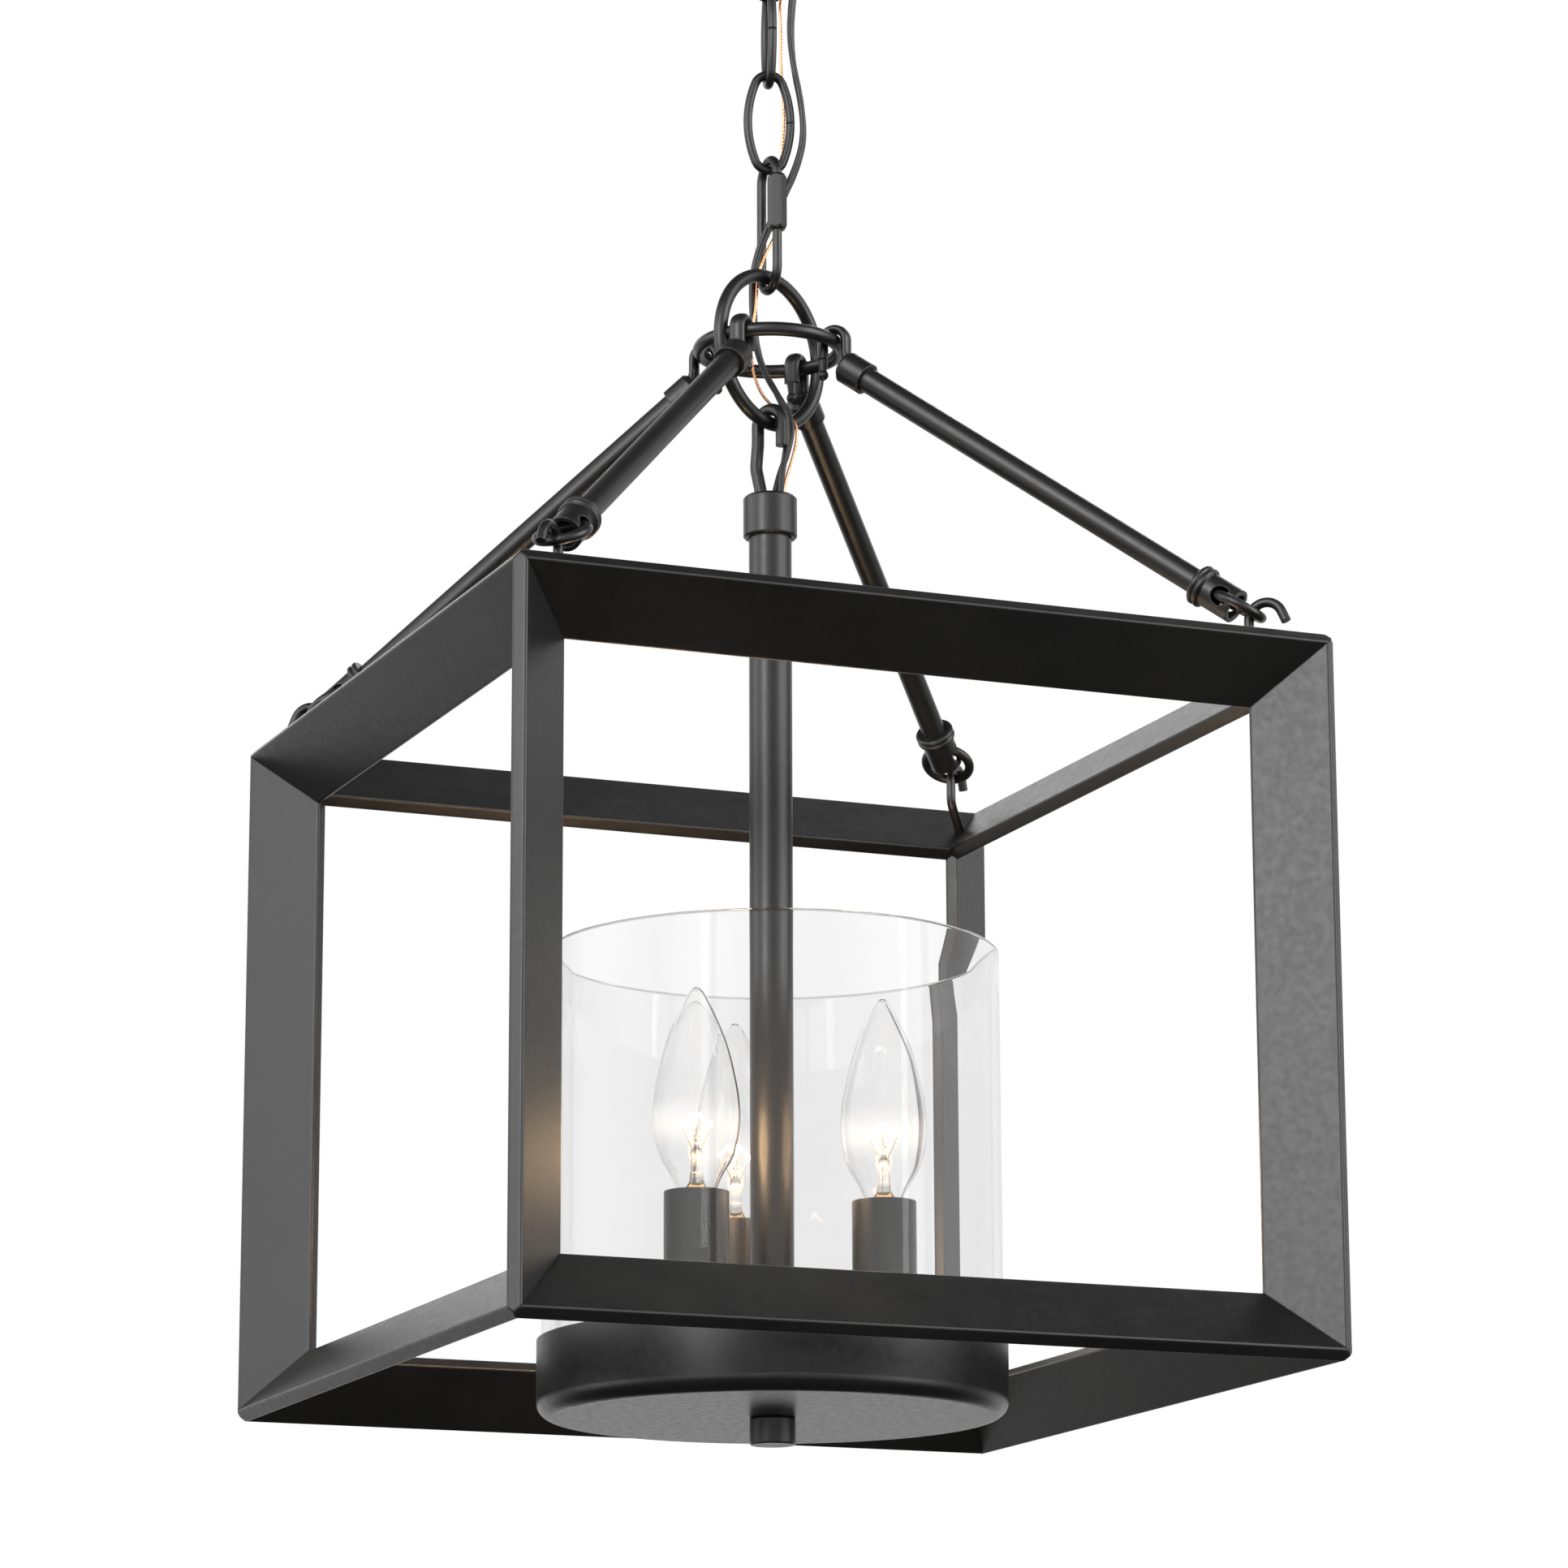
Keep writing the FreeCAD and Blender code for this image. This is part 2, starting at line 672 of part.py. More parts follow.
def frame():
    half = float(S.frame_wide) / 2
    middle_z = (frame_top_z + frame_bottom_z) / 2
    for name, sx, sy in (
        ("front_left", -1, -1), ("front_right", 1, -1), ("rear_right", 1, 1), ("rear_left", -1, 1)
    ):
        inward = [X_AXIS * -sx, Y_AXIS * -sy]
        frame_bar(f"{name}_post", S.frame_tall, Vector(sx * half, sy * half, middle_z), *inward)
    sides = (("front", Y_AXIS * -1), ("right", X_AXIS), ("rear", Y_AXIS), ("left", X_AXIS * -1))
    for level, z, inward_z in (("top", frame_top_z, Z_AXIS * -1), ("bottom", frame_bottom_z, Z_AXIS)):
        for side, out in sides:
            at = out * half + Vector(0, 0, z)
            frame_bar(f"{side}_{level}_rail", S.frame_wide, at, out * -1, inward_z)


def corner_hooks():
    """Wire hooks that rise out of the top corners and curl over the rods' wire rings."""
    hooks = []
    curl = 6.8
    leg = Vector(CURL_AT.x - curl, CURL_AT.y, 0)
    tail = CURL_AT + Vector(math.cos(math.radians(24)), math.sin(math.radians(24)), 0) * curl
    tail_end = tail + Vector(math.sin(math.radians(24)), -math.cos(math.radians(24)), 0) * 4.5
    path = bent([Vector(209.5, -155.5, 0), Vector(leg.x, -143.5, 0), leg], [7.0])
    path += [arc(CURL_AT, curl, 180, 24), line(tail, tail_end)]
    for corner, turn in CORNER_TURNS.items():
        hook = swept(f"{corner}_corner_hook", path, Radius=S.corner_hook_wire / 2)
        hook.Placement = upright(turn, ring_z)
        hooks.append(hook)
    node(group("hooks", *hooks), "corner_hooks")


# ---- stem, pan, lamps and glass


def stem():
    arch_z = upright_bottom_z + float(S.touch_gap + S.ring_wire / 2) - 3.7
    arch = 6.2
    rise = [
        Vector(-4.5, stem_cap_z - 11, 0), Vector(-4.5, stem_cap_z + 2, 0), Vector(-7.2, arch_z - 17, 0),
        Vector(-arch, arch_z - 7, 0), Vector(-arch, arch_z, 0),
    ]
    path = bent(rise, [12.0, 12.0, 12.0]) + [
        arc(Vector(0, arch_z, 0), arch, 180, 0),
        line(Vector(arch, arch_z, 0), Vector(arch, arch_z - 10, 0)),
    ]
    hook = swept("hook_wire", path, Radius=S.stem_hook_wire / 2)
    node(hook, "stem_hook", upright(STEM_HOOK_TURN))

    r = S.stem_cap_across / 2
    bore = S.stem_across / 2 + S.fit_gap
    inside = S.stem_cap_long - S.stem_cap_top
    cup = lathe("stem_cup", [
        (0, inside), (bore, inside), (bore, 0), (r - 0.6, 0), (r, 0.6),
        (r, S.stem_cap_long - 1), (r - 1, S.stem_cap_long), (0, S.stem_cap_long),
    ])
    low = stem_cap_z - float(S.stem_cap_long)
    cup.Placement = turned(STEM_HOOK_TURN, low)
    holes = []
    for name, across, offset in (("hook", S.stem_hook_wire + 2 * S.fit_gap, -4.5), ("cord", as_size(8.0), 3.2)):
        at = turned(STEM_HOOK_TURN, stem_cap_z - 5).multiply(Placement(Vector(offset, 0, 0), Rotation()))
        holes.append(cylinder(f"cap_{name}_hole", across, 10, at))
    node(cut("stem_cap_drilled", cup, *holes), "stem_cap")

    tall = stem_top_z - stem_bottom_z
    node(tube("stem_pipe", S.stem_across, S.stem_bore, as_size(tall), 0), "stem_tube", turned(0, stem_bottom_z))


def stem_end():
    """A plug in the stem's lower end, drilled for the leads, with a stud through the pan."""
    plug = S.stem_bore / 2 - S.fit_gap
    neck_long, stud = S.neck_long, S.stud_across / 2
    low = S.stud_long + S.sheet_wall
    base = lathe("plug", [
        (0, 0), (stud, 0), (stud, low), (S.neck_across / 2, low), (S.neck_across / 2, low + neck_long),
        (plug, low + neck_long), (plug, low + neck_long + S.plug_long), (0, low + neck_long + S.plug_long),
    ])
    low_z = pan_z - float(S.stud_long)
    base.Placement = turned(0, low_z)
    holes = []
    for i, turn in enumerate(LAMP_TURNS):
        at = turned(turn, stem_bottom_z - 1).multiply(Placement(Vector(4.95, 0, 0), Rotation()))
        holes.append(cylinder(f"lead_hole_{i}", S.lead_hole, S.plug_long + 2, at))
    node(cut("stem_plug", base, *holes), "stem_end_fitting")

    r = S.finial_across / 2
    bore = stud + S.fit_gap
    top, deep = S.finial_tall, S.stud_long + 0.5
    knob = lathe("knob", [
        (0, 0), (r - 0.5, 0), (r, 0.5), (r, top - 0.4), (r - 0.4, top),
        (bore, top), (bore, top - deep), (0, top - deep),
    ])
    node(knob, "finial", turned(0, pan_z - float(S.finial_tall) - 0.05))


def pan_and_glass():
    bowl = dish("pan_bowl", S.pan_across, S.pan_tall, S.sheet_wall, S.pan_round, S.stud_across + 0.3)
    node(bowl, "pan", turned(0, pan_z))

    disc = cylinder("plate_disc", S.plate_across, S.plate_thick, plate_z)
    holes = [cylinder("plate_stem_hole", S.stem_across + 2 * S.fit_gap, S.plate_thick + 2, plate_z - 1)]
    for i, turn in enumerate(LAMP_TURNS):
        at = lamp_place(turn, plate_z - 1)
        holes.append(cylinder(f"plate_lead_hole_{i}", S.lead_hole, S.plate_thick + 2, at))
    node(cut("plate_drilled", disc, *holes), "socket_plate")

    wall = tube("glass_wall_tube", S.glass_across, S.glass_across - 2 * S.glass_wall, S.glass_tall)
    soft = S.glass_wall / 2 - 0.05
    inner = S.glass_across - 2 * S.glass_wall
    rims = [(across, z, soft) for across in (S.glass_across, inner) for z in (0, S.glass_tall)]
    node(rounded("glass_polished", wall, rims), "glass", turned(0, glass_z))


def lamp_place(turn, z):
    return turned(turn, z).multiply(Placement(Vector(float(S.lamp_circle), 0, 0), Rotation()))


def lamps():
    covers, holders = [], []
    top = S.cover_tall - S.holder_drop
    seat = top - S.base_long - 2
    for i, turn in enumerate(LAMP_TURNS):
        at = lamp_place(turn, cover_z)
        covers.append(tube(f"cover_{i}", S.cover_across, S.cover_bore, S.cover_tall, at))
        lead = S.lead_hole / 2
        holder = lathe(f"holder_{i}", [
            (lead, 0), (S.holder_post / 2, 0), (S.holder_post / 2, seat - 18), (S.holder_across / 2, seat - 12),
            (S.holder_across / 2, top), (S.holder_bore / 2, top), (S.holder_bore / 2, seat), (lead, seat),
        ])
        holder.Placement = at
        holders.append(holder)
    node(group("covers", *covers), "candle_covers")
    node(group("holders", *holders), "lampholders")


def bulbs():
    """Flame-shaped bulbs: a smooth turned envelope on a straight screw base."""
    widest = float(S.bulb_across) / 2
    steps = ((0.44, 0.0), (0.563, 0.065), (0.784, 0.147), (0.916, 0.227), (1.0, 0.364), (0.9, 0.552),
             (0.713, 0.714), (0.42, 0.872), (0.23, 0.955), (0.0, 1.0))
    side = [Vector(r * widest, 0, h * float(S.bulb_tall)) for r, h in steps]
    curve = Part.BSplineCurve()
    curve.interpolate(side, InitialTangent=Vector(0.6, 0, 1), FinalTangent=Vector(-1, 0, 0.0))
    base_r, base_low = float(S.base_across) / 2, -float(S.base_long)
    neck = side[0]
    corners = [Vector(0, 0, side[-1].z), Vector(0, 0, base_low), Vector(base_r - 2, 0, base_low),
               Vector(base_r, 0, base_low + 3), Vector(base_r, 0, -2), Vector(neck.x, 0, neck.z)]
    edges = [line(a, b) for a, b in zip(corners, corners[1:])] + [curve.toShape()]
    for i, turn in enumerate(LAMP_TURNS, 1):
        profile = doc.addObject("Part::Feature", f"bulb_profile_{i}")
        profile.Shape = Part.Wire(edges)
        bulb = doc.addObject("Part::Revolution", f"bulb_turned_{i}")
        bulb.Source = profile
        bulb.Axis = Z_AXIS
        bulb.Base = ORIGIN
        bulb.Angle = 360
        bulb.Solid = True
        node(bulb, f"bulb_{i}", lamp_place(turn, bulb_z))


# ---- cords


CORDS = {
    "lamp_wire_1": (S.conductor_across, [
        (-1.4, 0, 16), (-1.6, 0.2, 3), (-1.3, 0.4, -11), (-1.1, 0.2, -24), (-0.9, -0.5, -36),
        (1.8, -4.5, -47), (6.3, -7.9, -59), (10.5, -7.1, -73), (8.5, -4.5, -89), (7.5, -3.5, -106),
        (9.0, -4.0, -121), (12.0, -5.0, -136), (13.0, -5.5, -151), (10.0, -4.5, -164),
        (5.5, -2.5, -175), (0.6, -0.5, -187), (-3.7, 2.1, -198), (-6.2, 3.8, -211), (-6.3, 3.2, -225),
        (-5.3, 2.7, -239), (-2.0, 1.0, -251), (3.8, -0.6, -261), (7.0, -1.9, -271), (6.1, -2.3, -283),
        (3.7, -3.3, -294), (2.6, -4.0, -306), (2.4, -3.7, -319), (2.6, -3.9, -332),
    ]),
    "lamp_wire_2": (S.conductor_across, [
        (1.4, -0.6, 16), (1.2, -0.3, 3), (1.4, -0.5, -11), (1.7, -0.7, -24), (1.9, -1.1, -36),
        (4.7, -2.7, -46.5), (8.7, -6.0, -58), (11.8, -4.5, -72.5), (10.2, -2.0, -89), (9.1, -1.0, -106),
        (10.2, -1.4, -121), (13.1, -2.3, -136), (14.3, -2.9, -151), (11.4, -2.0, -164),
        (6.7, 0.0, -175.5), (1.8, 2.1, -187.5), (-2.4, 4.5, -198.5), (-4.2, 5.7, -211),
        (-4.6, 5.6, -225), (-3.7, 5.1, -239), (-0.6, 3.6, -251), (5.3, 1.9, -261), (10.1, -0.4, -271),
        (8.1, 0.5, -283), (3.6, -0.2, -294), (0.5, -1.6, -306), (0.3, -1.4, -319), (0.5, -1.6, -332),
    ]),
    "earth_wire": (S.earth_across, [
        (0.5, 2.3, 14), (0.7, 2.4, 2), (0.4, 2.3, -10), (0.6, 2.4, -22), (1.2, 2.3, -32),
        (3.0, 2.2, -40), (8.2, 1.6, -48.5), (11.2, 0.6, -60), (10.1, 2.3, -75), (6.0, 3.5, -91),
        (6.7, 3.1, -104), (6.6, 3.6, -117), (7.6, 3.7, -130), (8.2, 3.6, -143), (7.0, 3.4, -156),
        (5.5, 3.6, -168), (5.6, 3.6, -181), (4.6, 1.9, -190), (-1.3, 1.2, -201), (-4.5, 2.1, -211),
        (-5.4, 0.6, -224), (-7.8, 1.5, -237), (-6.4, 3.3, -248), (-4.1, 3.4, -256), (-0.2, 3.9, -261.5),
        (5.3, 3.8, -265.3), (10.4, 2.2, -267.8), (12.4, 0.5, -273.5), (10.6, 0.8, -284),
        (6.4, -1.2, -294.5), (3.9, -1.9, -306), (4.0, -1.5, -318), (3.8, -1.7, -330),
    ]),
}


def lamp_cords():
    for name, (across, route) in CORDS.items():
        wire, volume = cord(name + "_core", across, route)
        node(wire, name)
        cord_volumes[name] = volume


cord_volumes = {}
crossbar()
nipple_and_nuts()
canopy_and_collar()
chain()
quick_link()
welded_rings()
hanger_rods()
frame()
corner_hooks()
stem()
stem_end()
pan_and_glass()
lamps()
bulbs()
lamp_cords()
doc.recompute()

troubled = [obj.Name for obj in doc.Objects if {"Invalid", "Error"} & set(obj.State)]
if troubled:
    raise RuntimeError(f"objects that failed: {troubled}")
for obj in nodes:
    if obj.Shape.isNull() or not obj.Shape.isValid():
        raise RuntimeError(f"bad shape: {obj.Label}")
for obj in nodes:
    expected = cord_volumes.get(obj.Label)
    if expected and abs(obj.Shape.Volume - expected) > 0.03 * expected:
        raise RuntimeError(f"{obj.Label}: volume {obj.Shape.Volume:.0f}, expected {expected:.0f}")

os.makedirs("parts", exist_ok=True)
for obj in nodes:
    obj.Shape.exportStep(f"parts/{obj.Label}.step")
print(f"{len(nodes)} sub-parts written")
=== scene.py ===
"""Hanging lantern: looks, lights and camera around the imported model. Metres, row frame."""

import json
import math

import bpy
from mathutils import Matrix, Vector
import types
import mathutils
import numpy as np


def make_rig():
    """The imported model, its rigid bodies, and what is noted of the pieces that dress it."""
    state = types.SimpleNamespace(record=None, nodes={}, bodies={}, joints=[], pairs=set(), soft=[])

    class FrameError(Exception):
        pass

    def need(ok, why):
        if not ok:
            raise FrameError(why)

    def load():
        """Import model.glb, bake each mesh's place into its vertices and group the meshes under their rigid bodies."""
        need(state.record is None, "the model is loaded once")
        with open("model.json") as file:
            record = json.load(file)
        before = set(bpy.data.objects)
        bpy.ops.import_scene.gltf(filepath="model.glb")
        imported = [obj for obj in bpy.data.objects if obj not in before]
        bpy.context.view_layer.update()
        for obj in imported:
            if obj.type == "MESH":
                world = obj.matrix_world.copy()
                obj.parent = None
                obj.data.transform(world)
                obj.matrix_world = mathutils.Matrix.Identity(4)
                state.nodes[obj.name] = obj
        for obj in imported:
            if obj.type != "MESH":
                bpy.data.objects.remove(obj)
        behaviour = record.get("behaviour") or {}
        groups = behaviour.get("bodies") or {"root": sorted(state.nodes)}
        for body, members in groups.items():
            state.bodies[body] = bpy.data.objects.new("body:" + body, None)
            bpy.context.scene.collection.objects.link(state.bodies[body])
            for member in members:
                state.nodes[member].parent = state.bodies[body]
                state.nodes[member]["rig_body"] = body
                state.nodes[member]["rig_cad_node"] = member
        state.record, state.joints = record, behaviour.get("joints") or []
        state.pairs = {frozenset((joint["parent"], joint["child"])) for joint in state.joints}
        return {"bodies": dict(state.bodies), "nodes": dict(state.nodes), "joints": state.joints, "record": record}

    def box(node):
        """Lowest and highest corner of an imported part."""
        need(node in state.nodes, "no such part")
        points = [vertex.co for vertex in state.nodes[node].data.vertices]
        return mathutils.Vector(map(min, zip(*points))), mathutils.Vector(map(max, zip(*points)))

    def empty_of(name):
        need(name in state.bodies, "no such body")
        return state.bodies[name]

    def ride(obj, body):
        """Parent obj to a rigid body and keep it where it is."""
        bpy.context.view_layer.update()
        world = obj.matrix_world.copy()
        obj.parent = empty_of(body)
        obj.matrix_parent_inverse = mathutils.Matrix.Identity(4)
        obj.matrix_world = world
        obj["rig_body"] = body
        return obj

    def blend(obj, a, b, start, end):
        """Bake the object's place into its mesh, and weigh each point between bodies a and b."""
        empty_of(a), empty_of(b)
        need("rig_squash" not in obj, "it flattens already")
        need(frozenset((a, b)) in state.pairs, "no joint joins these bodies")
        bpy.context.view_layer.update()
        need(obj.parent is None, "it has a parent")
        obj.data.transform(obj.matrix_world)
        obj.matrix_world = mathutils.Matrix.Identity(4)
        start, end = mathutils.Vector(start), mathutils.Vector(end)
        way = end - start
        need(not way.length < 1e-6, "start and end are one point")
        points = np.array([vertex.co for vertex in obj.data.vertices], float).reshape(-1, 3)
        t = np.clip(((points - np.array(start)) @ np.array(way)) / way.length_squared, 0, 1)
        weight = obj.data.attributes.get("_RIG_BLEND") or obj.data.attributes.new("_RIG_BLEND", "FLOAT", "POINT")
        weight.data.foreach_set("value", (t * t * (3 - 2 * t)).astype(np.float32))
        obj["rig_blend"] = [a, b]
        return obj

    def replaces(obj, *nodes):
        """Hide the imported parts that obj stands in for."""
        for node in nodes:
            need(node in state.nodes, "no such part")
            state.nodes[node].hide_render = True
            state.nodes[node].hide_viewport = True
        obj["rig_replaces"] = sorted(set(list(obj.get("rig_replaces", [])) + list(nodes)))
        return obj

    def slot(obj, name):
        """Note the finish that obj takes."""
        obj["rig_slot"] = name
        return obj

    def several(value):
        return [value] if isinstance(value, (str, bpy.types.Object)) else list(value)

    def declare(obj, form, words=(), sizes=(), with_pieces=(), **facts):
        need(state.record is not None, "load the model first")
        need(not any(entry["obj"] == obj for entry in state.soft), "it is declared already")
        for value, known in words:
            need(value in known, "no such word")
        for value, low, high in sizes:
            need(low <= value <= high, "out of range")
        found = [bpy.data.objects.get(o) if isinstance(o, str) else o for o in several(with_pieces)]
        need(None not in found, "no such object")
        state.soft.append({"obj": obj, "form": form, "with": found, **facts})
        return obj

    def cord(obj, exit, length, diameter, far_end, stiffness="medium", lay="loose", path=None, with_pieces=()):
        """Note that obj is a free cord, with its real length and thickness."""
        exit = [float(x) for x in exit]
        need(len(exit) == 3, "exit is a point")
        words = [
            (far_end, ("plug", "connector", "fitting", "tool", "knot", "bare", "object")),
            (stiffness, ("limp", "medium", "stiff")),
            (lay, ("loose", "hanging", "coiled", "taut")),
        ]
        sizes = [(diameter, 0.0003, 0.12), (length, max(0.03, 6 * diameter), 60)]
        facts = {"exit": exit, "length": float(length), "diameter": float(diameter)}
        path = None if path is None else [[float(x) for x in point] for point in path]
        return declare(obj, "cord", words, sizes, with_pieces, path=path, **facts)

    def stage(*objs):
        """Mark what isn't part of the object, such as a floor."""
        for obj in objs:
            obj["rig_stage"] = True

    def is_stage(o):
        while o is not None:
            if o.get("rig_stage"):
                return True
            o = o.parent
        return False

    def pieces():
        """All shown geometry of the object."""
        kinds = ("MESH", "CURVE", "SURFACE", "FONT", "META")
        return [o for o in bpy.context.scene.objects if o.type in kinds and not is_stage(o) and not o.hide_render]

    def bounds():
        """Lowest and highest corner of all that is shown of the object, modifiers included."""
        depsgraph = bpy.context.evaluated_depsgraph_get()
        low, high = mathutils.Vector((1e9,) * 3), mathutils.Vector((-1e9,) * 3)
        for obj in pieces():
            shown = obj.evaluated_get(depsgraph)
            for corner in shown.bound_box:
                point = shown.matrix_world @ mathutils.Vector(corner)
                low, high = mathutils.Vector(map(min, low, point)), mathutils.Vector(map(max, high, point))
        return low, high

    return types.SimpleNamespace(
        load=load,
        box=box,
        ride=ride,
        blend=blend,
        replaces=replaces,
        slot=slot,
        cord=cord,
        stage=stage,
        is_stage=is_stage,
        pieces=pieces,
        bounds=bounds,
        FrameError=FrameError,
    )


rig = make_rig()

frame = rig.load()
NODES = frame["nodes"]
CAD_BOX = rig.bounds()

MM = 0.001
UP = Vector((0, 0, 1))
SCENE = bpy.context.scene


# ---------------------------------------------------------------- camera

# Where the camera stands, and its own right, up and ahead as unit vectors
CAMERA_AT = Vector((-0.7922, -1.9461, -0.9207))
CAMERA_RIGHT = Vector((0.92583237, -0.37792213, -0.00304913))
CAMERA_UP = Vector((-0.08481178, -0.21562019, 0.97278718))
CAMERA_AHEAD = Vector((0.36829525, 0.90037925, 0.2316804))
SENSOR_WIDE = 36
LENS = 126.19
SHIFT_X = 0.0026
CLIP_NEAR = 0.01
CLIP_FAR = 60


def make_camera():
    """The camera, looking up at the lantern from its front left."""
    camera = bpy.data.objects.new("camera", bpy.data.cameras.new("camera"))
    SCENE.collection.objects.link(camera)
    turn = Matrix((CAMERA_RIGHT, CAMERA_UP, -CAMERA_AHEAD)).transposed().to_4x4()
    camera.matrix_world = Matrix.Translation(CAMERA_AT) @ turn
    camera.data.sensor_width = SENSOR_WIDE
    camera.data.lens = LENS
    camera.data.shift_x = SHIFT_X
    camera.data.clip_start = CLIP_NEAR
    camera.data.clip_end = CLIP_FAR
    SCENE.camera = camera


# ---------------------------------------------------------------- materials

EDGE_SAMPLES = 6


class Shader:
    """A material with a Principled shader, and short names for the nodes that feed it."""

    def __init__(self, name):
        self.material = bpy.data.materials.new(name)
        self.material.use_nodes = True
        self.tree = self.material.node_tree
        self.surface = self.tree.nodes["Principled BSDF"]
        self.place = self.tree.nodes.new("ShaderNodeTexCoord").outputs["Object"]

    def add(self, kind, inputs=None, **settings):
        """A new node with its settings and inputs."""
        node = self.tree.nodes.new(kind)
        for key, value in settings.items():
            setattr(node, key, value)
        for key, value in (inputs or {}).items():
            self.feed(node.inputs[key], value)
        return node

    def feed(self, socket, value):
        """Links a socket to an input, or sets its value."""
        if isinstance(value, bpy.types.NodeSocket):
            self.tree.links.new(value, socket)
        else:
            socket.default_value = value

    def set(self, **inputs):
        """Inputs of the Principled shader, with _ for a space in their names."""
        for key, value in inputs.items():
            self.feed(self.surface.inputs[key.replace("_", " ")], value)

    def noise(self, scale, detail=3.0, stretch=None):
        """Noise with scale features to the metre. A stretch under 1 draws them out along that axis."""
        place = self.place
        if stretch:
            place = self.add("ShaderNodeMapping", {"Vector": place, "Scale": stretch}).outputs[0]
        inputs = {"Vector": place, "Scale": scale, "Detail": detail}
        return self.add("ShaderNodeTexNoise", inputs).outputs["Fac"]

    def cells(self, scale):
        """The distance from scattered points, scale of them to the metre."""
        inputs = {"Vector": self.place, "Scale": scale}
        return self.add("ShaderNodeTexVoronoi", inputs).outputs["Distance"]

    def fit(self, value, low, high, at=(0.3, 0.7)):
        """A value brought from the range at to the range low to high."""
        start, end = at
        inputs = {"Value": value, "From Min": start, "From Max": end, "To Min": low, "To Max": high}
        return self.add("ShaderNodeMapRange", inputs).outputs[0]

    def math(self, operation, a, b=0.0):
        """The result of a sum on two values."""
        return self.add("ShaderNodeMath", {0: a, 1: b}, operation=operation).outputs[0]

    def mix(self, factor, a, b):
        """A colour between a, where the factor is 0, and b, where it is 1."""
        node = self.add("ShaderNodeMix", data_type="RGBA")
        self.feed(node.inputs["Factor"], factor)
        for key, color in (("A", a), ("B", b)):
            linked = isinstance(color, bpy.types.NodeSocket)
            self.feed(node.inputs[key], color if linked else (*color, 1))
        return node.outputs["Result"]

    def bump(self, height, strength, depth, normal=None):
        """The normal over a relief of that depth in metres."""
        inputs = {"Height": height, "Strength": strength, "Distance": depth}
        node = self.add("ShaderNodeBump", inputs)
        if normal:
            self.feed(node.inputs["Normal"], normal)
        return node.outputs["Normal"]

    def soft_edge(self, radius):
        """The normal rounded over sharp edges, and how far it turns there: 0 on a flat, 1 on an edge."""
        rounded = self.add("ShaderNodeBevel", {"Radius": radius}, samples=EDGE_SAMPLES).outputs[0]
        plain = self.add("ShaderNodeNewGeometry").outputs["Normal"]
        node = self.add("ShaderNodeVectorMath", {0: rounded, 1: plain}, operation="DOT_PRODUCT")
        return rounded, self.fit(node.outputs["Value"], 1.0, 0.0, at=(0.8, 0.98))


def black_metal():
    """Satin black powder coat: fine orange peel, uneven tone, arrises lighter from wear and a painted highlight, a
    little dust on top.
    """
    m = Shader("black_metal")
    rounded, edge = m.soft_edge(0.0009)
    # Arrises painted lighter in patches: partly wear, partly a painted highlight along the edges.
    wear_and_painted_highlight = m.math("MULTIPLY", edge, m.fit(m.noise(170, 5), 0.0, 1.0, at=(0.42, 0.66)))
    tone = m.mix(m.fit(m.noise(14, 5), 0, 1), (0.0045, 0.0045, 0.0048), (0.0085, 0.0082, 0.0080))
    normal = m.add("ShaderNodeNewGeometry").outputs["Normal"]
    up = m.add("ShaderNodeSeparateXYZ", {0: normal}).outputs["Z"]
    patches = m.fit(m.noise(60, 6), 0, 1, at=(0.4, 0.75))
    dust = m.math("MULTIPLY", m.fit(up, 0.0, 0.5, at=(0.6, 1.0)), patches)
    dusty = m.mix(dust, tone, (0.030, 0.029, 0.027))
    specks = m.fit(m.cells(620), 1.0, 0.0, at=(0.0, 0.16))
    speckled = m.mix(m.math("MULTIPLY", specks, 0.35), dusty, (0.03, 0.03, 0.03))
    m.set(Base_Color=m.mix(m.math("MULTIPLY", wear_and_painted_highlight, 0.6), speckled, (0.075, 0.073, 0.070)))
    matt = m.fit(m.noise(330, 4), 0.30, 0.38)
    m.set(Roughness=m.math("ADD", matt, m.math("MULTIPLY", dust, 0.12)))
    peel = m.math("ADD", m.noise(1500, 3), m.math("MULTIPLY", m.noise(260, 2), 0.8))
    m.set(Normal=m.bump(peel, 0.05, 0.00005, rounded))
    return m.material


def plated_steel():
    """Zinc-plated steel: a cool, faintly blotched film over drawn lines, with a painted highlight along sharp edges.
    """
    m = Shader("plated_steel")
    rounded, edge = m.soft_edge(0.0004)
    blotch = m.mix(m.fit(m.noise(70, 5), 0, 1), (0.50, 0.50, 0.49), (0.64, 0.63, 0.58))
    # Sharp edges painted lighter: a painted highlight.
    m.set(Base_Color=m.mix(m.math("MULTIPLY", edge, 0.5), blotch, (0.72, 0.72, 0.70)), Metallic=1.0)
    drawn = m.noise(240, 4, stretch=(1, 14, 1))
    m.set(Roughness=m.fit(drawn, 0.24, 0.42))
    m.set(Normal=m.bump(drawn, 0.25, 0.00005, rounded))
    return m.material


def socket_body():
    """Moulded black phenolic: slightly mottled and dull, with a painted highlight along sharp edges."""
    m = Shader("socket_body")
    rounded, edge = m.soft_edge(0.0004)
    mottle = m.mix(m.fit(m.noise(120, 6), 0, 1), (0.012, 0.011, 0.010), (0.026, 0.022, 0.019))
    # Sharp edges painted lighter: a painted highlight.
    m.set(Base_Color=m.mix(m.math("MULTIPLY", edge, 0.4), mottle, (0.06, 0.055, 0.05)))
    m.set(Roughness=m.fit(m.noise(400, 3), 0.45, 0.62))
    m.set(Normal=m.bump(m.noise(900, 3), 0.3, 0.00008, rounded))
    return m.material


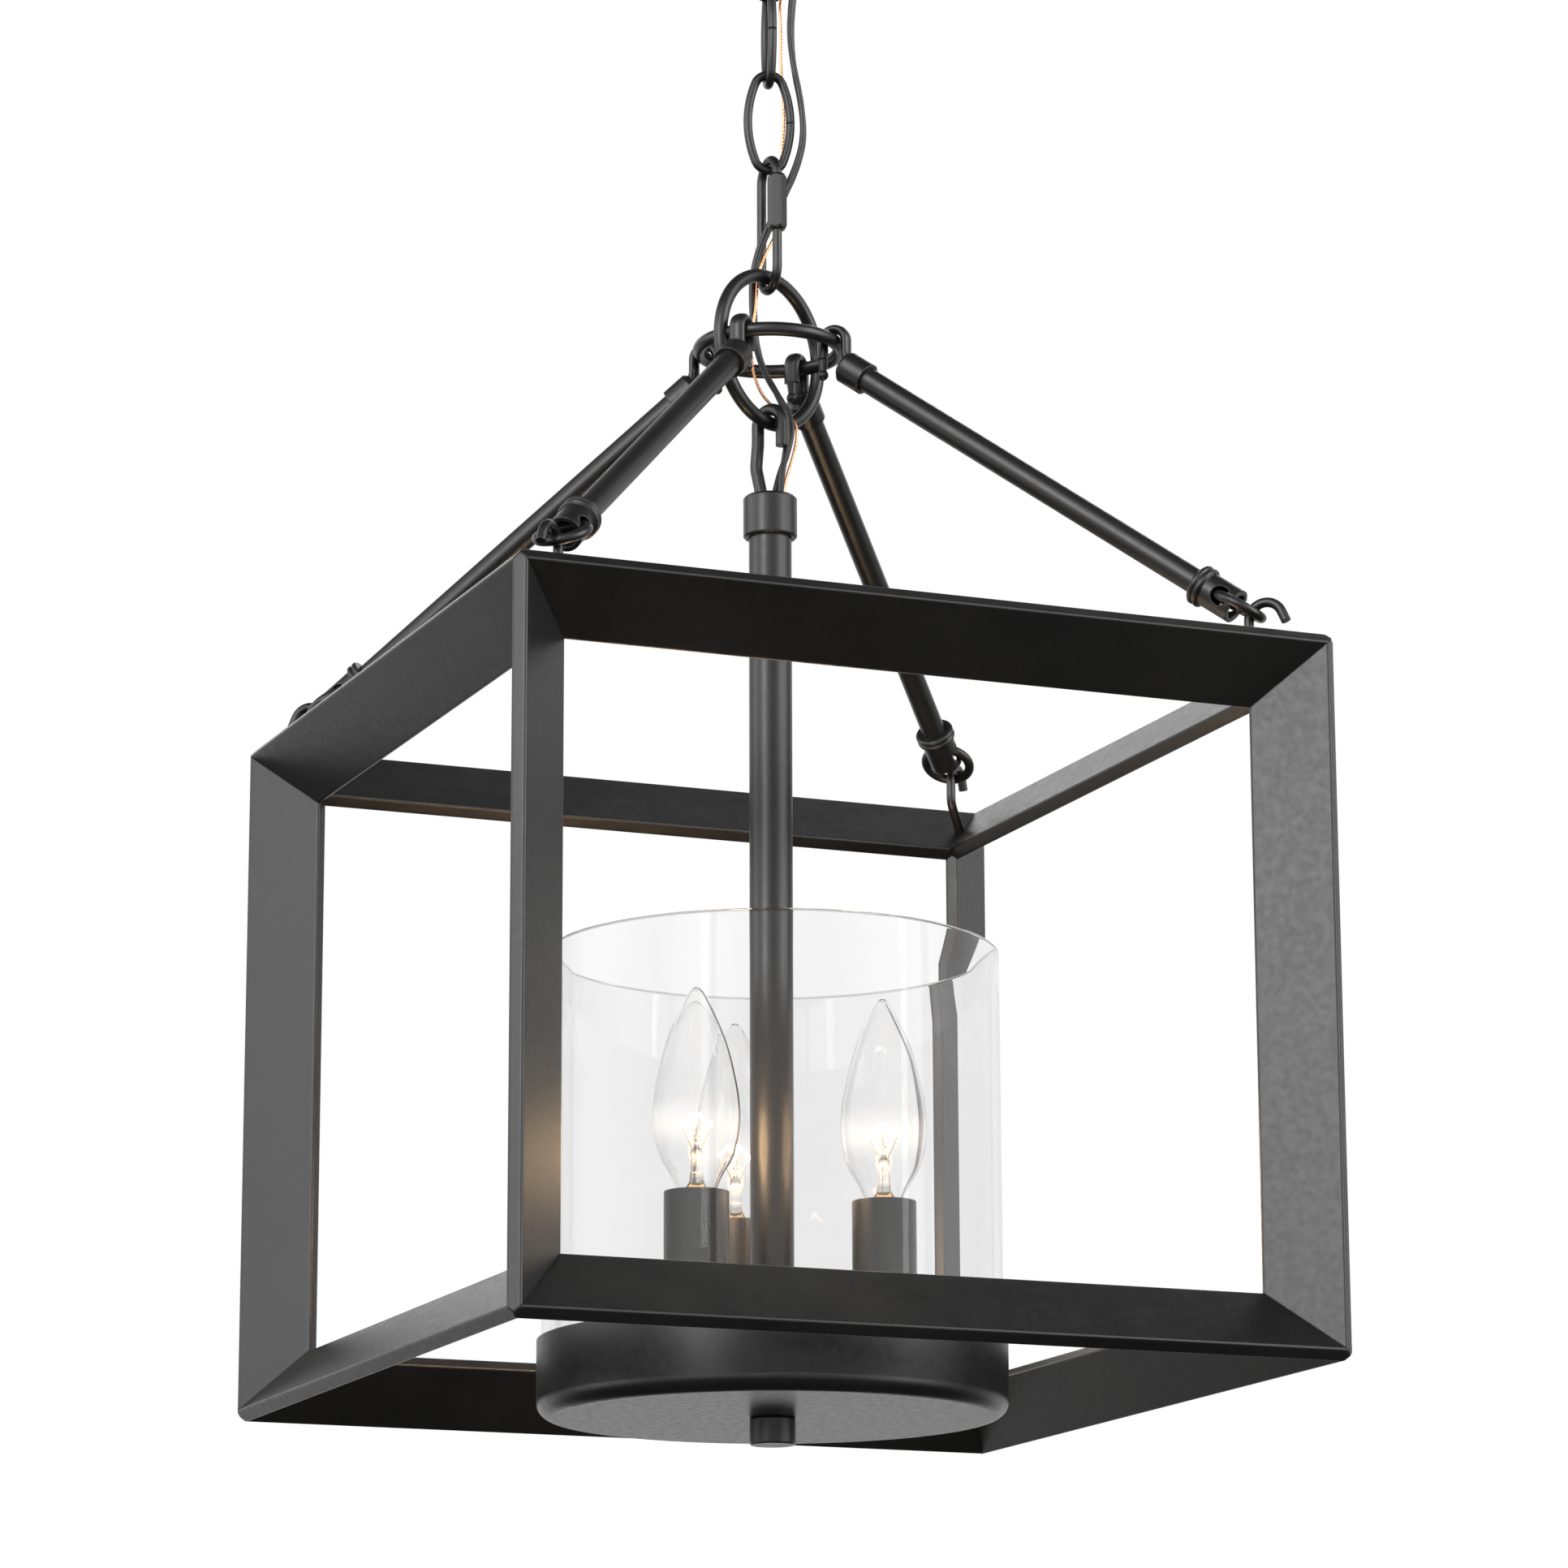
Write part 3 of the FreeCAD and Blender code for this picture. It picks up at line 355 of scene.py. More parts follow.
def clear_glass():
    """Clear glass: faint drawn waves, light smears, a breath of grey, and reflections kept dim."""
    m = Shader("clear_glass")
    m.set(Transmission_Weight=1.0, IOR=1.5, Specular_Tint=(0.22, 0.22, 0.22, 1))
    m.set(Base_Color=m.mix(m.fit(m.noise(9, 4), 0, 1), (0.902, 0.900, 0.904), (0.920, 0.918, 0.922)))
    m.set(Roughness=m.fit(m.noise(34, 6, stretch=(1, 1, 0.4)), 0.0, 0.012, at=(0.55, 0.85)))
    waves = m.noise(16, 2, stretch=(1, 1, 0.25))
    m.set(Normal=m.bump(waves, 0.01, 0.0008))
    return m.material


def bulb_glass(lamps):
    """Thin blown glass with painted shade where it turns edge-on, and a painted warm glow from the lit filament on the
    glass around it.
    """
    m = Shader("bulb_glass")
    m.set(Transmission_Weight=1.0, IOR=1.47, Specular_Tint=(0.6, 0.6, 0.6, 1))
    clear = m.mix(m.fit(m.noise(40, 3), 0, 1), (0.970, 0.970, 0.967), (0.990, 0.990, 0.988))
    # Painted shade: the glass colour is darkened where the surface turns edge-on to the view.
    painted_rim_shade = m.add("ShaderNodeLayerWeight", {"Blend": 0.5}).outputs["Facing"]
    m.set(Base_Color=m.mix(m.fit(painted_rim_shade, 0.0, 0.85, at=(0.74, 0.97)), clear, (0.20, 0.20, 0.21)))
    m.set(Roughness=m.fit(m.noise(90, 5), 0.0, 0.025, at=(0.5, 0.85)))
    m.set(Normal=m.bump(m.noise(70, 2, stretch=(1, 1, 0.3)), 0.07, 0.0005))
    near = None
    for lamp in lamps:
        node = m.add("ShaderNodeVectorMath", {0: m.place, 1: lamp}, operation="DISTANCE")
        away = node.outputs["Value"]
        near = away if near is None else m.math("MINIMUM", near, away)
    # Painted glow: the glass near each filament emits warm light, though the glass is no lamp.
    painted_glow = m.fit(near, 0.14, 0.0, at=(0.0150, 0.0178))
    m.set(Emission_Color=(1.0, 0.84, 0.64, 1))
    m.set(Emission_Strength=m.math("MULTIPLY", painted_glow, m.fit(m.noise(60, 3), 0.8, 1.2)))
    return m.material


def mount_glass():
    """The pressed glass mount inside a bulb, faintly amber and uneven."""
    m = Shader("mount_glass")
    m.set(Transmission_Weight=1.0, IOR=1.52)
    m.set(Base_Color=m.mix(m.fit(m.noise(300, 3), 0, 1), (0.95, 0.92, 0.86), (0.995, 0.985, 0.965)))
    m.set(Roughness=m.fit(m.noise(500, 3), 0.02, 0.12))
    m.set(Normal=m.bump(m.noise(420, 2), 0.35, 0.0004))
    return m.material


def lead_metal():
    """Nickel lead and support wires."""
    m = Shader("lead_metal")
    metal = m.mix(m.fit(m.noise(600, 3), 0, 1), (0.30, 0.24, 0.18), (0.50, 0.42, 0.33))
    m.set(Base_Color=metal, Metallic=1.0)
    m.set(Roughness=m.fit(m.noise(900, 3), 0.25, 0.45))
    m.set(Normal=m.bump(m.noise(2400, 2), 0.2, 0.00002))
    return m.material


def base_brass():
    """Rolled brass screw base, dull in the threads."""
    m = Shader("base_brass")
    brass = m.mix(m.fit(m.noise(180, 5), 0, 1), (0.42, 0.27, 0.10), (0.72, 0.52, 0.24))
    m.set(Base_Color=brass, Metallic=1.0)
    m.set(Roughness=m.fit(m.noise(400, 4), 0.22, 0.42))
    m.set(Normal=m.bump(m.noise(900, 3), 0.2, 0.00004))
    return m.material


def filament_glow():
    """Lit tungsten, a little hotter in places."""
    m = Shader("filament")
    m.set(Base_Color=(1.0, 0.8, 0.5, 1), Emission_Strength=m.fit(m.noise(900, 2), 26.0, 40.0))
    m.set(Emission_Color=m.mix(m.fit(m.noise(700, 2), 0, 1), (1.0, 0.66, 0.34), (1.0, 0.80, 0.52)))
    m.set(Roughness=0.6)
    return m.material


def wire_jacket():
    """Extruded black PVC: semi-gloss, with die lines along it and dull handled patches."""
    m = Shader("wire_jacket")
    m.set(Base_Color=m.mix(m.fit(m.noise(110, 5), 0, 1), (0.0055, 0.0055, 0.006), (0.013, 0.0125, 0.012)))
    m.set(Roughness=m.fit(m.noise(150, 5), 0.26, 0.44))
    ridges = m.math("ADD", m.noise(900, 3, stretch=(1, 1, 0.12)), m.math("MULTIPLY", m.noise(180, 3), 0.7))
    m.set(Normal=m.bump(ridges, 0.35, 0.00007))
    return m.material


def bare_copper():
    """Bright drawn copper strands with browner, tarnished lengths."""
    m = Shader("bare_copper")
    tarnish = m.fit(m.noise(95, 5), 0.0, 1.0, at=(0.45, 0.68))
    m.set(Base_Color=m.mix(tarnish, (0.93, 0.50, 0.27), (0.50, 0.22, 0.10)), Metallic=1.0)
    m.set(Roughness=m.fit(m.noise(700, 3), 0.22, 0.42))
    m.set(Normal=m.bump(m.noise(2600, 2), 0.2, 0.00003))
    return m.material


def floor_paint():
    """Plain pale floor."""
    m = Shader("floor")
    m.set(Base_Color=m.mix(m.fit(m.noise(2, 4), 0, 1), (0.79, 0.79, 0.785), (0.82, 0.82, 0.815)))
    m.set(Roughness=m.fit(m.noise(6, 4), 0.62, 0.74))
    m.set(Normal=m.bump(m.noise(40, 4), 0.05, 0.001))
    return m.material


def finish_node(name, material):
    """Gives a CAD node its material."""
    for slot in NODES[name].material_slots:
        slot.material = material


# ---------------------------------------------------------------- meshes

ON_AXIS = 1e-6


def piece(name, verts, faces, material, body, slot, crease=40):
    """A mesh piece that rides on a body. Without a body it is left free, for a blend."""
    mesh = bpy.data.meshes.new(name)
    mesh.from_pydata([tuple(v) for v in verts], [], faces)
    mesh.validate()
    mesh.materials.append(material)
    mesh.shade_smooth()
    mesh.set_sharp_from_angle(angle=math.radians(crease))
    obj = bpy.data.objects.new(name, mesh)
    SCENE.collection.objects.link(obj)
    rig.slot(obj, slot)
    if body:
        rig.ride(obj, body)
    return obj


def turned(profile, centre, segments, closed):
    """A profile of (radius, height) in mm turned about the vertical through centre, in metres.
    A closed profile joins its last point to its first. A point on the axis is one vertex."""
    verts, rows = [], []
    for radius, height in profile:
        if radius < ON_AXIS:
            rows.append([len(verts)] * segments)
            verts.append(centre + Vector((0, 0, height * MM)))
            continue
        rows.append(list(range(len(verts), len(verts) + segments)))
        for i in range(segments):
            a = math.tau * i / segments
            verts.append(centre + Vector((radius * math.cos(a), radius * math.sin(a), height)) * MM)
    faces = []
    for low, high in zip(rows, rows[1:] + rows[:1] if closed else rows[1:]):
        for i in range(segments):
            j = (i + 1) % segments
            corners = [low[i], low[j], high[j], high[i]]
            faces.append(tuple(dict.fromkeys(corners)))
    return verts, faces


def frames_along(points):
    """A steady pair of side directions at each point of a line, carried along it without twist."""
    side = None
    for i, p in enumerate(points):
        ahead = (points[min(i + 1, len(points) - 1)] - points[max(i - 1, 0)]).normalized()
        if side is None:
            side = ahead.orthogonal().normalized()
        side = (side - ahead * side.dot(ahead)).normalized()
        yield p, side, ahead.cross(side)


def tube(points, section):
    """A tube with closed ends along points. section(i) is the ring of offsets in metres at point i."""
    verts, faces, count = [], [], 0
    for i, (p, across, up) in enumerate(frames_along(points)):
        ring = section(i)
        count = len(ring)
        verts += [p + across * a + up * b for a, b in ring]
    for i in range(len(points) - 1):
        for j in range(count):
            k = (j + 1) % count
            low, high = i * count, (i + 1) * count
            faces.append((low + j, low + k, high + k, high + j))
    faces.append(tuple(range(count - 1, -1, -1)))
    faces.append(tuple(range(len(verts) - count, len(verts))))
    return verts, faces


def circle(radius, count):
    """A ring of points."""
    angles = [math.tau * i / count for i in range(count)]
    return [(radius * math.cos(a), radius * math.sin(a)) for a in angles]


def arc(centre, radius, start, end, steps):
    """(radius, height) points on an arc round centre, from one angle in degrees to another."""
    for i in range(steps + 1):
        a = math.radians(start + (end - start) * i / steps)
        yield centre[0] + radius * math.cos(a), centre[1] + radius * math.sin(a)


# ---------------------------------------------------------------- cords

# Diameters in metres
CONDUCTOR = 0.0025
EARTH = 0.0012
JACKET_SIDES = 22

# Routes in mm, from the crossbar down into the stem cap
ROUTES = {
    "lamp_wire_1": [
        (-1.4, 0, 16), (-1.6, 0.2, 3), (-1.3, 0.4, -11), (-1.1, 0.2, -24), (-0.9, -0.5, -36),
        (1.8, -4.5, -47), (6.3, -7.9, -59), (10.5, -7.1, -73), (8.5, -4.5, -89), (7.5, -3.5, -106),
        (9.0, -4.0, -121), (12.0, -5.0, -136), (13.0, -5.5, -151), (10.0, -4.5, -164),
        (5.5, -2.5, -175), (0.6, -0.5, -187), (-3.7, 2.1, -198), (-6.2, 3.8, -211), (-6.3, 3.2, -225),
        (-5.3, 2.7, -239), (-2.0, 1.0, -251), (3.8, -0.6, -261), (7.0, -1.9, -271), (6.1, -2.3, -283),
        (3.7, -3.3, -294), (2.6, -4.0, -306), (2.4, -3.7, -319), (2.6, -3.9, -332),
    ],
    "lamp_wire_2": [
        (1.4, -0.6, 16), (1.2, -0.3, 3), (1.4, -0.5, -11), (1.7, -0.7, -24), (1.9, -1.1, -36),
        (4.7, -2.7, -46.5), (8.7, -6.0, -58), (11.8, -4.5, -72.5), (10.2, -2.0, -89), (9.1, -1.0, -106),
        (10.2, -1.4, -121), (13.1, -2.3, -136), (14.3, -2.9, -151), (11.4, -2.0, -164),
        (6.7, 0.0, -175.5), (1.8, 2.1, -187.5), (-2.4, 4.5, -198.5), (-4.2, 5.7, -211),
        (-4.6, 5.6, -225), (-3.7, 5.1, -239), (-0.6, 3.6, -251), (5.3, 1.9, -261), (10.1, -0.4, -271),
        (8.1, 0.5, -283), (3.6, -0.2, -294), (0.5, -1.6, -306), (0.3, -1.4, -319), (0.5, -1.6, -332),
    ],
    "earth_wire": [
        (0.5, 2.3, 14), (0.7, 2.4, 2), (0.4, 2.3, -10), (0.6, 2.4, -22), (1.2, 2.3, -32),
        (3.0, 2.2, -40), (8.2, 1.6, -48.5), (11.2, 0.6, -60), (10.1, 2.3, -75), (6.0, 3.5, -91),
        (6.7, 3.1, -104), (6.6, 3.6, -117), (7.6, 3.7, -130), (8.2, 3.6, -143), (7.0, 3.4, -156),
        (5.5, 3.6, -168), (5.6, 3.6, -181), (4.6, 1.9, -190), (-1.3, 1.2, -201), (-4.5, 2.1, -211),
        (-5.4, 0.6, -224), (-7.8, 1.5, -237), (-6.4, 3.3, -248), (-4.1, 3.4, -256), (-0.2, 3.9, -261.5),
        (5.3, 3.8, -265.3), (10.4, 2.2, -267.8), (12.4, 0.5, -273.5), (10.6, 0.8, -284),
        (6.4, -1.2, -294.5), (3.9, -1.9, -306), (4.0, -1.5, -318), (3.8, -1.7, -330),
    ],
}

# Each joint that the cords cross: its two bodies, its height and half the height of the bend, in mm
CROSSINGS = [
    ("ceiling", "top_link", -55.5, 15),
    ("top_link", "upper_link", -91.8, 16),
    ("upper_link", "lower_link", -128.8, 16),
    ("lower_link", "quick_link", -165.8, 18),
    ("quick_link", "rings", -216.3, 22),
    ("rings", "stem", -272.3, 24),
]
# Heights in the middle of the bodies between those joints, where a cord passes from one piece to the next
SPLITS = [-73.6, -110.3, -147.3, -191.0, -244.3]


def spline_line(name, route):
    """The points along a smooth line whose control points are the route's."""
    curve = bpy.data.curves.new(name + "_route", "CURVE")
    curve.dimensions = "3D"
    spline = curve.splines.new("NURBS")
    spline.points.add(len(route) - 1)
    for point, place in zip(spline.points, route):
        point.co = (*(Vector(place) * MM), 1)
    spline.order_u = 3
    spline.use_endpoint_u = True
    spline.resolution_u = 24
    holder = bpy.data.objects.new(name + "_route", curve)
    SCENE.collection.objects.link(holder)
    depsgraph = bpy.context.evaluated_depsgraph_get()
    mesh = bpy.data.meshes.new_from_object(holder.evaluated_get(depsgraph))
    points = [v.co.copy() for v in mesh.vertices]
    bpy.data.objects.remove(holder)
    bpy.data.curves.remove(curve)
    bpy.data.meshes.remove(mesh)
    return points


def jacket_section(distances):
    """A round jacket whose diameter varies by up to two hundredths along its length."""
    def section(i):
        slow = 0.012 * math.sin(distances[i] * 310)
        quick = 0.008 * math.sin(distances[i] * 770 + 1)
        return circle(CONDUCTOR / 2 * (1 + slow + quick), JACKET_SIDES)
    return section


def strand_section(distances):
    """Seven fine wires laid round each other: a lobed section that turns along the length."""
    lobes, count, lay = 7, 42, 0.011
    core, groove, roundness = 0.86, 0.14, 0.6

    def section(i):
        twist = math.tau * distances[i] / lay
        ring = []
        for k in range(count):
            a = math.tau * k / count
            lobe = abs(math.cos(lobes * (a - twist / 2) / 2)) ** roundness
            radius = EARTH / 2 * (core + groove * lobe)
            ring.append((radius * math.cos(a + twist / 2), radius * math.sin(a + twist / 2)))
        return ring
    return section


def lay_cord(name, diameter, section_of, material, slot):
    """One cord as a run of pieces, each bending across the one joint that it passes."""
    points = spline_line(name, ROUTES[name])
    cuts = [0]
    for height in SPLITS:
        cuts.append(min(range(len(points)), key=lambda i: abs(points[i].z - height * MM)))
    cuts.append(len(points) - 1)
    distances = [0.0]
    for a, b in zip(points, points[1:]):
        distances.append(distances[-1] + (b - a).length)
    for number, (start, end, crossing) in enumerate(zip(cuts, cuts[1:], CROSSINGS), 1):
        above, below, height, reach = crossing
        run = points[start:end + 1]
        section = section_of(distances[start:end + 1])
        verts, faces = tube(run, section)
        obj = piece(f"{name}_part_{number}", verts, faces, material, None, slot)
        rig.blend(obj, above, below, (0, 0, (height + reach) * MM), (0, 0, (height - reach) * MM))
        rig.replaces(obj, name)
        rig.cord(obj, exit=run[0], length=distances[end] - distances[start], diameter=diameter,
                far_end="object", stiffness="medium", lay="hanging", path=run)


# ---------------------------------------------------------------- glass

GLASS_WALL = 3.0
GLASS_SEGMENTS = 256
WALL_STEPS = 12
RIM_STEPS = 12
GLASS_CREASE = 80


def glass_cylinder(material):
    """The open glass cylinder, with fire-polished rims."""
    low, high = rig.box("glass")
    outer = (high.x - low.x) / 2 / MM
    inner, tall = outer - GLASS_WALL, (high.z - low.z) / MM
    centre = Vector(((low.x + high.x) / 2, (low.y + high.y) / 2, low.z))
    half = GLASS_WALL / 2
    middle = outer - half
    straight = tall - GLASS_WALL
    profile = [(outer, half + straight * i / WALL_STEPS) for i in range(WALL_STEPS + 1)]
    profile += list(arc((middle, tall - half), half, 0, 180, RIM_STEPS))[1:]
    profile += [(inner, half + straight * (WALL_STEPS - i) / WALL_STEPS) for i in range(1, WALL_STEPS + 1)]
    profile += list(arc((middle, half), half, 180, 360, RIM_STEPS))[1:-1]
    verts, faces = turned(profile, centre, GLASS_SEGMENTS, closed=True)
    obj = piece("glass_cylinder", verts, faces, material, "glass", "clear_glass", crease=GLASS_CREASE)
    obj.visible_shadow = False
    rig.replaces(obj, "glass")


# ---------------------------------------------------------------- bulbs, in mm

BASE_LONG = 20.0
BULB_ACROSS = 33.4
BULB_WALL = 0.4
BULB_SEGMENTS = 96
# The blown wall is up to twice as thick from this share of the height to the tip
THICKER_FROM = 0.7
# The inside stops this far under the tip, in a point this far across and high
TIP_SOLID = 1.3
TIP_POINT = 0.05
# The outline, as shares of half the width and of the height
BULB_SIDE = ((0.44, 0.0), (0.47, 0.018), (0.513, 0.040), (0.563, 0.065), (0.63, 0.094), (0.71, 0.121),
             (0.784, 0.147), (0.862, 0.185), (0.916, 0.227), (0.972, 0.290), (1.0, 0.364), (0.985, 0.430),
             (0.95, 0.493), (0.9, 0.552), (0.813, 0.635), (0.713, 0.714), (0.572, 0.797), (0.42, 0.872),
             (0.330, 0.913), (0.23, 0.955), (0.165, 0.977), (0.105, 0.991), (0.05, 0.998), (0.0, 1.0))
SIDE_STEPS = 4

# Outlines as (radius, height) above the foot, where a bulb leaves its base
CONTACT = ((0, -20), (2.4, -20), (2.6, -19.2), (4.4, -18.4), (5.45, -17.2))
THREAD_RADIUS = 5.45
THREAD_DEEP = 0.45
THREAD_LOW = -17.2
THREAD_PITCH = 3.2
THREAD_TURNS = 4
THREAD_STEPS = 8
COLLAR = ((5.5, -3.9), (5.75, -2.2), (6.9, -0.9), (7.25, 0.2), (6.7, 0.3), (0, 0.3))
BASE_SEGMENTS = 64
MOUNT = ((0, 0.5), (4.6, 0.6), (4.0, 2.0), (2.9, 4.0), (2.4, 7.5), (2.2, 12.0), (2.4, 14.6), (2.1, 16.2),
         (1.1, 17.4), (0.8, 19.6), (1.3, 20.6), (1.0, 21.6), (0, 22.0))
MOUNT_SEGMENTS = 40

# Wires as (distance from the axis, height) above the foot
LEAD = ((1.5, 15.0), (1.8, 17.0), (2.6, 19.0), (4.2, 22.6), (6.0, 26.3))
LEAD_RADIUS = 0.28
SUPPORT = ((0.2, 21.5), (1.2, 24.0), (2.2, 27.0), (2.3, 28.6))
SUPPORT_RADIUS = 0.2
FILAMENT_HIGH = 26.0
FILAMENT_WIDE = 12
FILAMENT_RISE = 3.4
FILAMENT_SAG = 2.2
FILAMENT_RADIUS = 0.24
COIL_RADIUS = 0.75
COIL_TURNS = 36
COIL_STEPS = 12
SPOT_RISE = 1.5
# How far each bulb's wires are turned from the next one's, in degrees
BULB_TURN = 22


def smooth_side(steps, tall):
    """The bulb's outline with points between its steps."""
    side = [(r * BULB_ACROSS / 2, h * tall) for r, h in steps]
    dense = []
    for i in range(len(side) - 1):
        p0, p1, p2, p3 = (Vector(side[max(0, min(len(side) - 1, i + k))]) for k in (-1, 0, 1, 2))
        for k in range(SIDE_STEPS):
            t = k / SIDE_STEPS
            dense.append(0.5 * (2 * p1 + (p2 - p0) * t + (2 * p0 - 5 * p1 + 4 * p2 - p3) * t * t
                                + (3 * p1 - p0 - 3 * p2 + p3) * t * t * t))
    return [(max(p.x, 0.0), p.y) for p in dense] + [side[-1]]


def inset(side, walls):
    """The inside of a blown wall: each point of the outline moved in along its normal."""
    inner = []
    for i, ((r, h), wall) in enumerate(zip(side, walls)):
        a, b = Vector(side[max(i - 1, 0)]), Vector(side[min(i + 1, len(side) - 1)])
        along = (b - a).normalized()
        inner.append((max(r - along.y * wall, 0.0), h + along.x * wall))
    return inner


def wire(name, points, radius, body, material, slot, count=10):
    """A round wire along points."""
    verts, faces = tube(points, lambda i: circle(radius * MM, count))
    piece(name, verts, faces, material, body, slot)


def bulb_foot(name):
    """The middle of the bulb where it leaves its base, and the height of its glass above that."""
    low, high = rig.box(name)
    foot = Vector(((low.x + high.x) / 2, (low.y + high.y) / 2, low.z + BASE_LONG * MM))
    return foot, (high.z - foot.z) / MM


def filament_spot(name):
    """The middle of a bulb's filament."""
    return bulb_foot(name)[0] + UP * ((FILAMENT_HIGH + SPOT_RISE) * MM)


def bulb_envelope(name, foot, tall, material):
    """The blown flame: an outside and an inside skin, joined round the foot."""
    side = smooth_side(BULB_SIDE, tall)
    walls = [BULB_WALL * (1 + max(0, h / tall - THICKER_FROM) / (1 - THICKER_FROM)) for r, h in side]
    inner = [(r, h) for r, h in inset(side, walls) if r > TIP_POINT and h < tall - TIP_SOLID]
    inner.append((0.0, inner[-1][1] + TIP_POINT))
    verts, faces = turned(side, foot, BULB_SEGMENTS, closed=False)
    outside = len(verts)
    more, inside = turned(inner, foot, BULB_SEGMENTS, closed=False)
    verts += more
    faces += [tuple(reversed([i + outside for i in face])) for face in inside]
    for i in range(BULB_SEGMENTS):
        j = (i + 1) % BULB_SEGMENTS
        faces.append((i, outside + i, outside + j, j))
    obj = piece(f"{name}_envelope", verts, faces, material, name, "bulb_glass", crease=GLASS_CREASE)
    obj.visible_shadow = False
    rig.replaces(obj, name)


def bulb_base(name, foot, material):
    """The rolled screw base, its contact and the collar round the glass."""
    thread = []
    for i in range(1, THREAD_TURNS * THREAD_STEPS + 1):
        crest = 0.5 - 0.5 * math.cos(math.tau * i / THREAD_STEPS)
        thread.append((THREAD_RADIUS + THREAD_DEEP * crest, THREAD_LOW + i * (THREAD_PITCH / THREAD_STEPS)))
    verts, faces = turned([*CONTACT, *thread, *COLLAR], foot, BASE_SEGMENTS, closed=False)
    piece(f"{name}_screw_base", verts, faces, material, name, "plated_steel")


def bulb_mount(name, foot, material):
    """The pressed glass mount."""
    verts, faces = turned(MOUNT, foot, MOUNT_SEGMENTS, closed=False)
    obj = piece(f"{name}_mount", verts, faces, material, name, "bulb_glass", crease=GLASS_CREASE)
    obj.visible_shadow = False


def bulb_wires(name, foot, across, shades):
    """Two lead wires, the support wire between them and the coiled filament that they hold."""
    out = across.cross(UP)
    for sign, label in ((-1, "a"), (1, "b")):
        lead = [foot + across * (sign * r * MM) + UP * (h * MM) for r, h in LEAD]
        wire(f"{name}_lead_{label}", lead, LEAD_RADIUS, name, shades["lead_metal"], "plated_steel")
    support = [foot + out * (r * MM) + UP * (h * MM) for r, h in SUPPORT]
    wire(f"{name}_support", support, SUPPORT_RADIUS, name, shades["lead_metal"], "plated_steel")

    coil, steps = [], COIL_TURNS * COIL_STEPS
    for i in range(steps + 1):
        t = i / steps
        a = math.tau * COIL_TURNS * t
        sideways = FILAMENT_WIDE * (t - 0.5)
        sag = FILAMENT_SAG * math.sin(math.pi * t) + COIL_RADIUS * math.sin(a)
        rise = FILAMENT_HIGH + FILAMENT_RISE * math.sin(math.pi * t) ** 2 + COIL_RADIUS * math.cos(a)
        coil.append(foot + (across * sideways + out * sag + UP * rise) * MM)
    wire(f"{name}_filament", coil, FILAMENT_RADIUS, name, shades["filament"], "bulb_glass", count=8)


def candle_bulb(number, shades):
    """One lit candle bulb. Its pieces ride on the body of the same name."""
    name = f"bulb_{number}"
    foot, tall = bulb_foot(name)
    bulb_envelope(name, foot, tall, shades["bulb_glass"])
    bulb_base(name, foot, shades["base_brass"])
    bulb_mount(name, foot, shades["mount_glass"])
    level = Vector((CAMERA_RIGHT.x, CAMERA_RIGHT.y, 0)).normalized()
    across = Matrix.Rotation(math.radians(BULB_TURN * (number - 2)), 3, "Z") @ level
    bulb_wires(name, foot, across, shades)


# ---------------------------------------------------------------- studio

BACK = Vector((CAMERA_AHEAD.x, CAMERA_AHEAD.y, 0)).normalized()
RIGHT = Vector((BACK.y, -BACK.x, 0))

# The band by height: (from 0 straight down to 1 straight up, brightness)
BAND = ((0.0, 0.05), (0.25, 0.10), (0.315, 0.35), (0.385, 1.3), (0.50, 1.0), (0.62, 1.15),
        (0.66, 1.9), (0.73, 1.9), (0.81, 0.5), (1.0, 0.20))
# The same by depth: (from 0 in front of the lantern to 1 behind it, brightness)
REAR = ((0.0, 0.70), (0.35, 0.60), (0.60, 0.25), (0.80, 0.38), (0.90, 0.75), (1.0, 0.85))
# Soft boxes: bearing in degrees to the right of straight back, brightness, and how it falls off
# with the cosine of the angle from the middle
WIDE_BOX = ((0.80, 0.0), (0.90, 0.30), (0.97, 0.80), (1.0, 1.0))
NARROW_BOX = ((0.90, 0.0), (0.945, 0.25), (0.97, 0.60), (0.992, 1.0))
SOFT_BOXES = ((-147, 5.6, NARROW_BOX), (-92, 2.5, WIDE_BOX), (112, 4.2, WIDE_BOX))
BOX_RISE = 0.24

# Strip lights in metres from the lantern's middle: name, to the right, to the front, up, width,
# height and power
STRIPS = (
    ("left_strip", -0.74, 1.16, 0.55, 0.10, 1.3, 3.2),
    ("right_strip", 1.35, 0.55, 0.50, 0.10, 1.3, 3.2),
    ("high_rear_strip", 0.35, -1.2, 1.05, 1.2, 0.10, 3.0),
    ("high_front_strip", -0.25, 1.25, 1.15, 1.2, 0.10, 2.6),
    ("low_front_strip", 0.3, 1.5, -0.42, 1.4, 0.08, 1.6),
)
OVERHEAD_RISE = 1.6
OVERHEAD_SIZE = 2.0
OVERHEAD_POWER = 14

# How far the floor is under the lantern and how far it reaches each way
FLOOR_DROP = 0.42
FLOOR_REACH = 6.0

LAMP_POWER = 0.40
LAMP_COLOR = (1.0, 0.66, 0.34)
LAMP_RADIUS = 0.004


def area_light(name, at, towards, size, power, seen=True):
    """A rectangular light that the camera doesn't see. Gloss shows it if it is seen."""
    light = bpy.data.lights.new(name, "AREA")
    light.shape = "RECTANGLE"
    light.size, light.size_y = size
    light.energy = power
    obj = bpy.data.objects.new(name, light)
    SCENE.collection.objects.link(obj)
    obj.location = at
    obj.rotation_euler = (towards - at).to_track_quat("-Z", "Y").to_euler()
    obj.visible_camera = False
    obj.visible_glossy = seen
    obj.visible_transmission = False


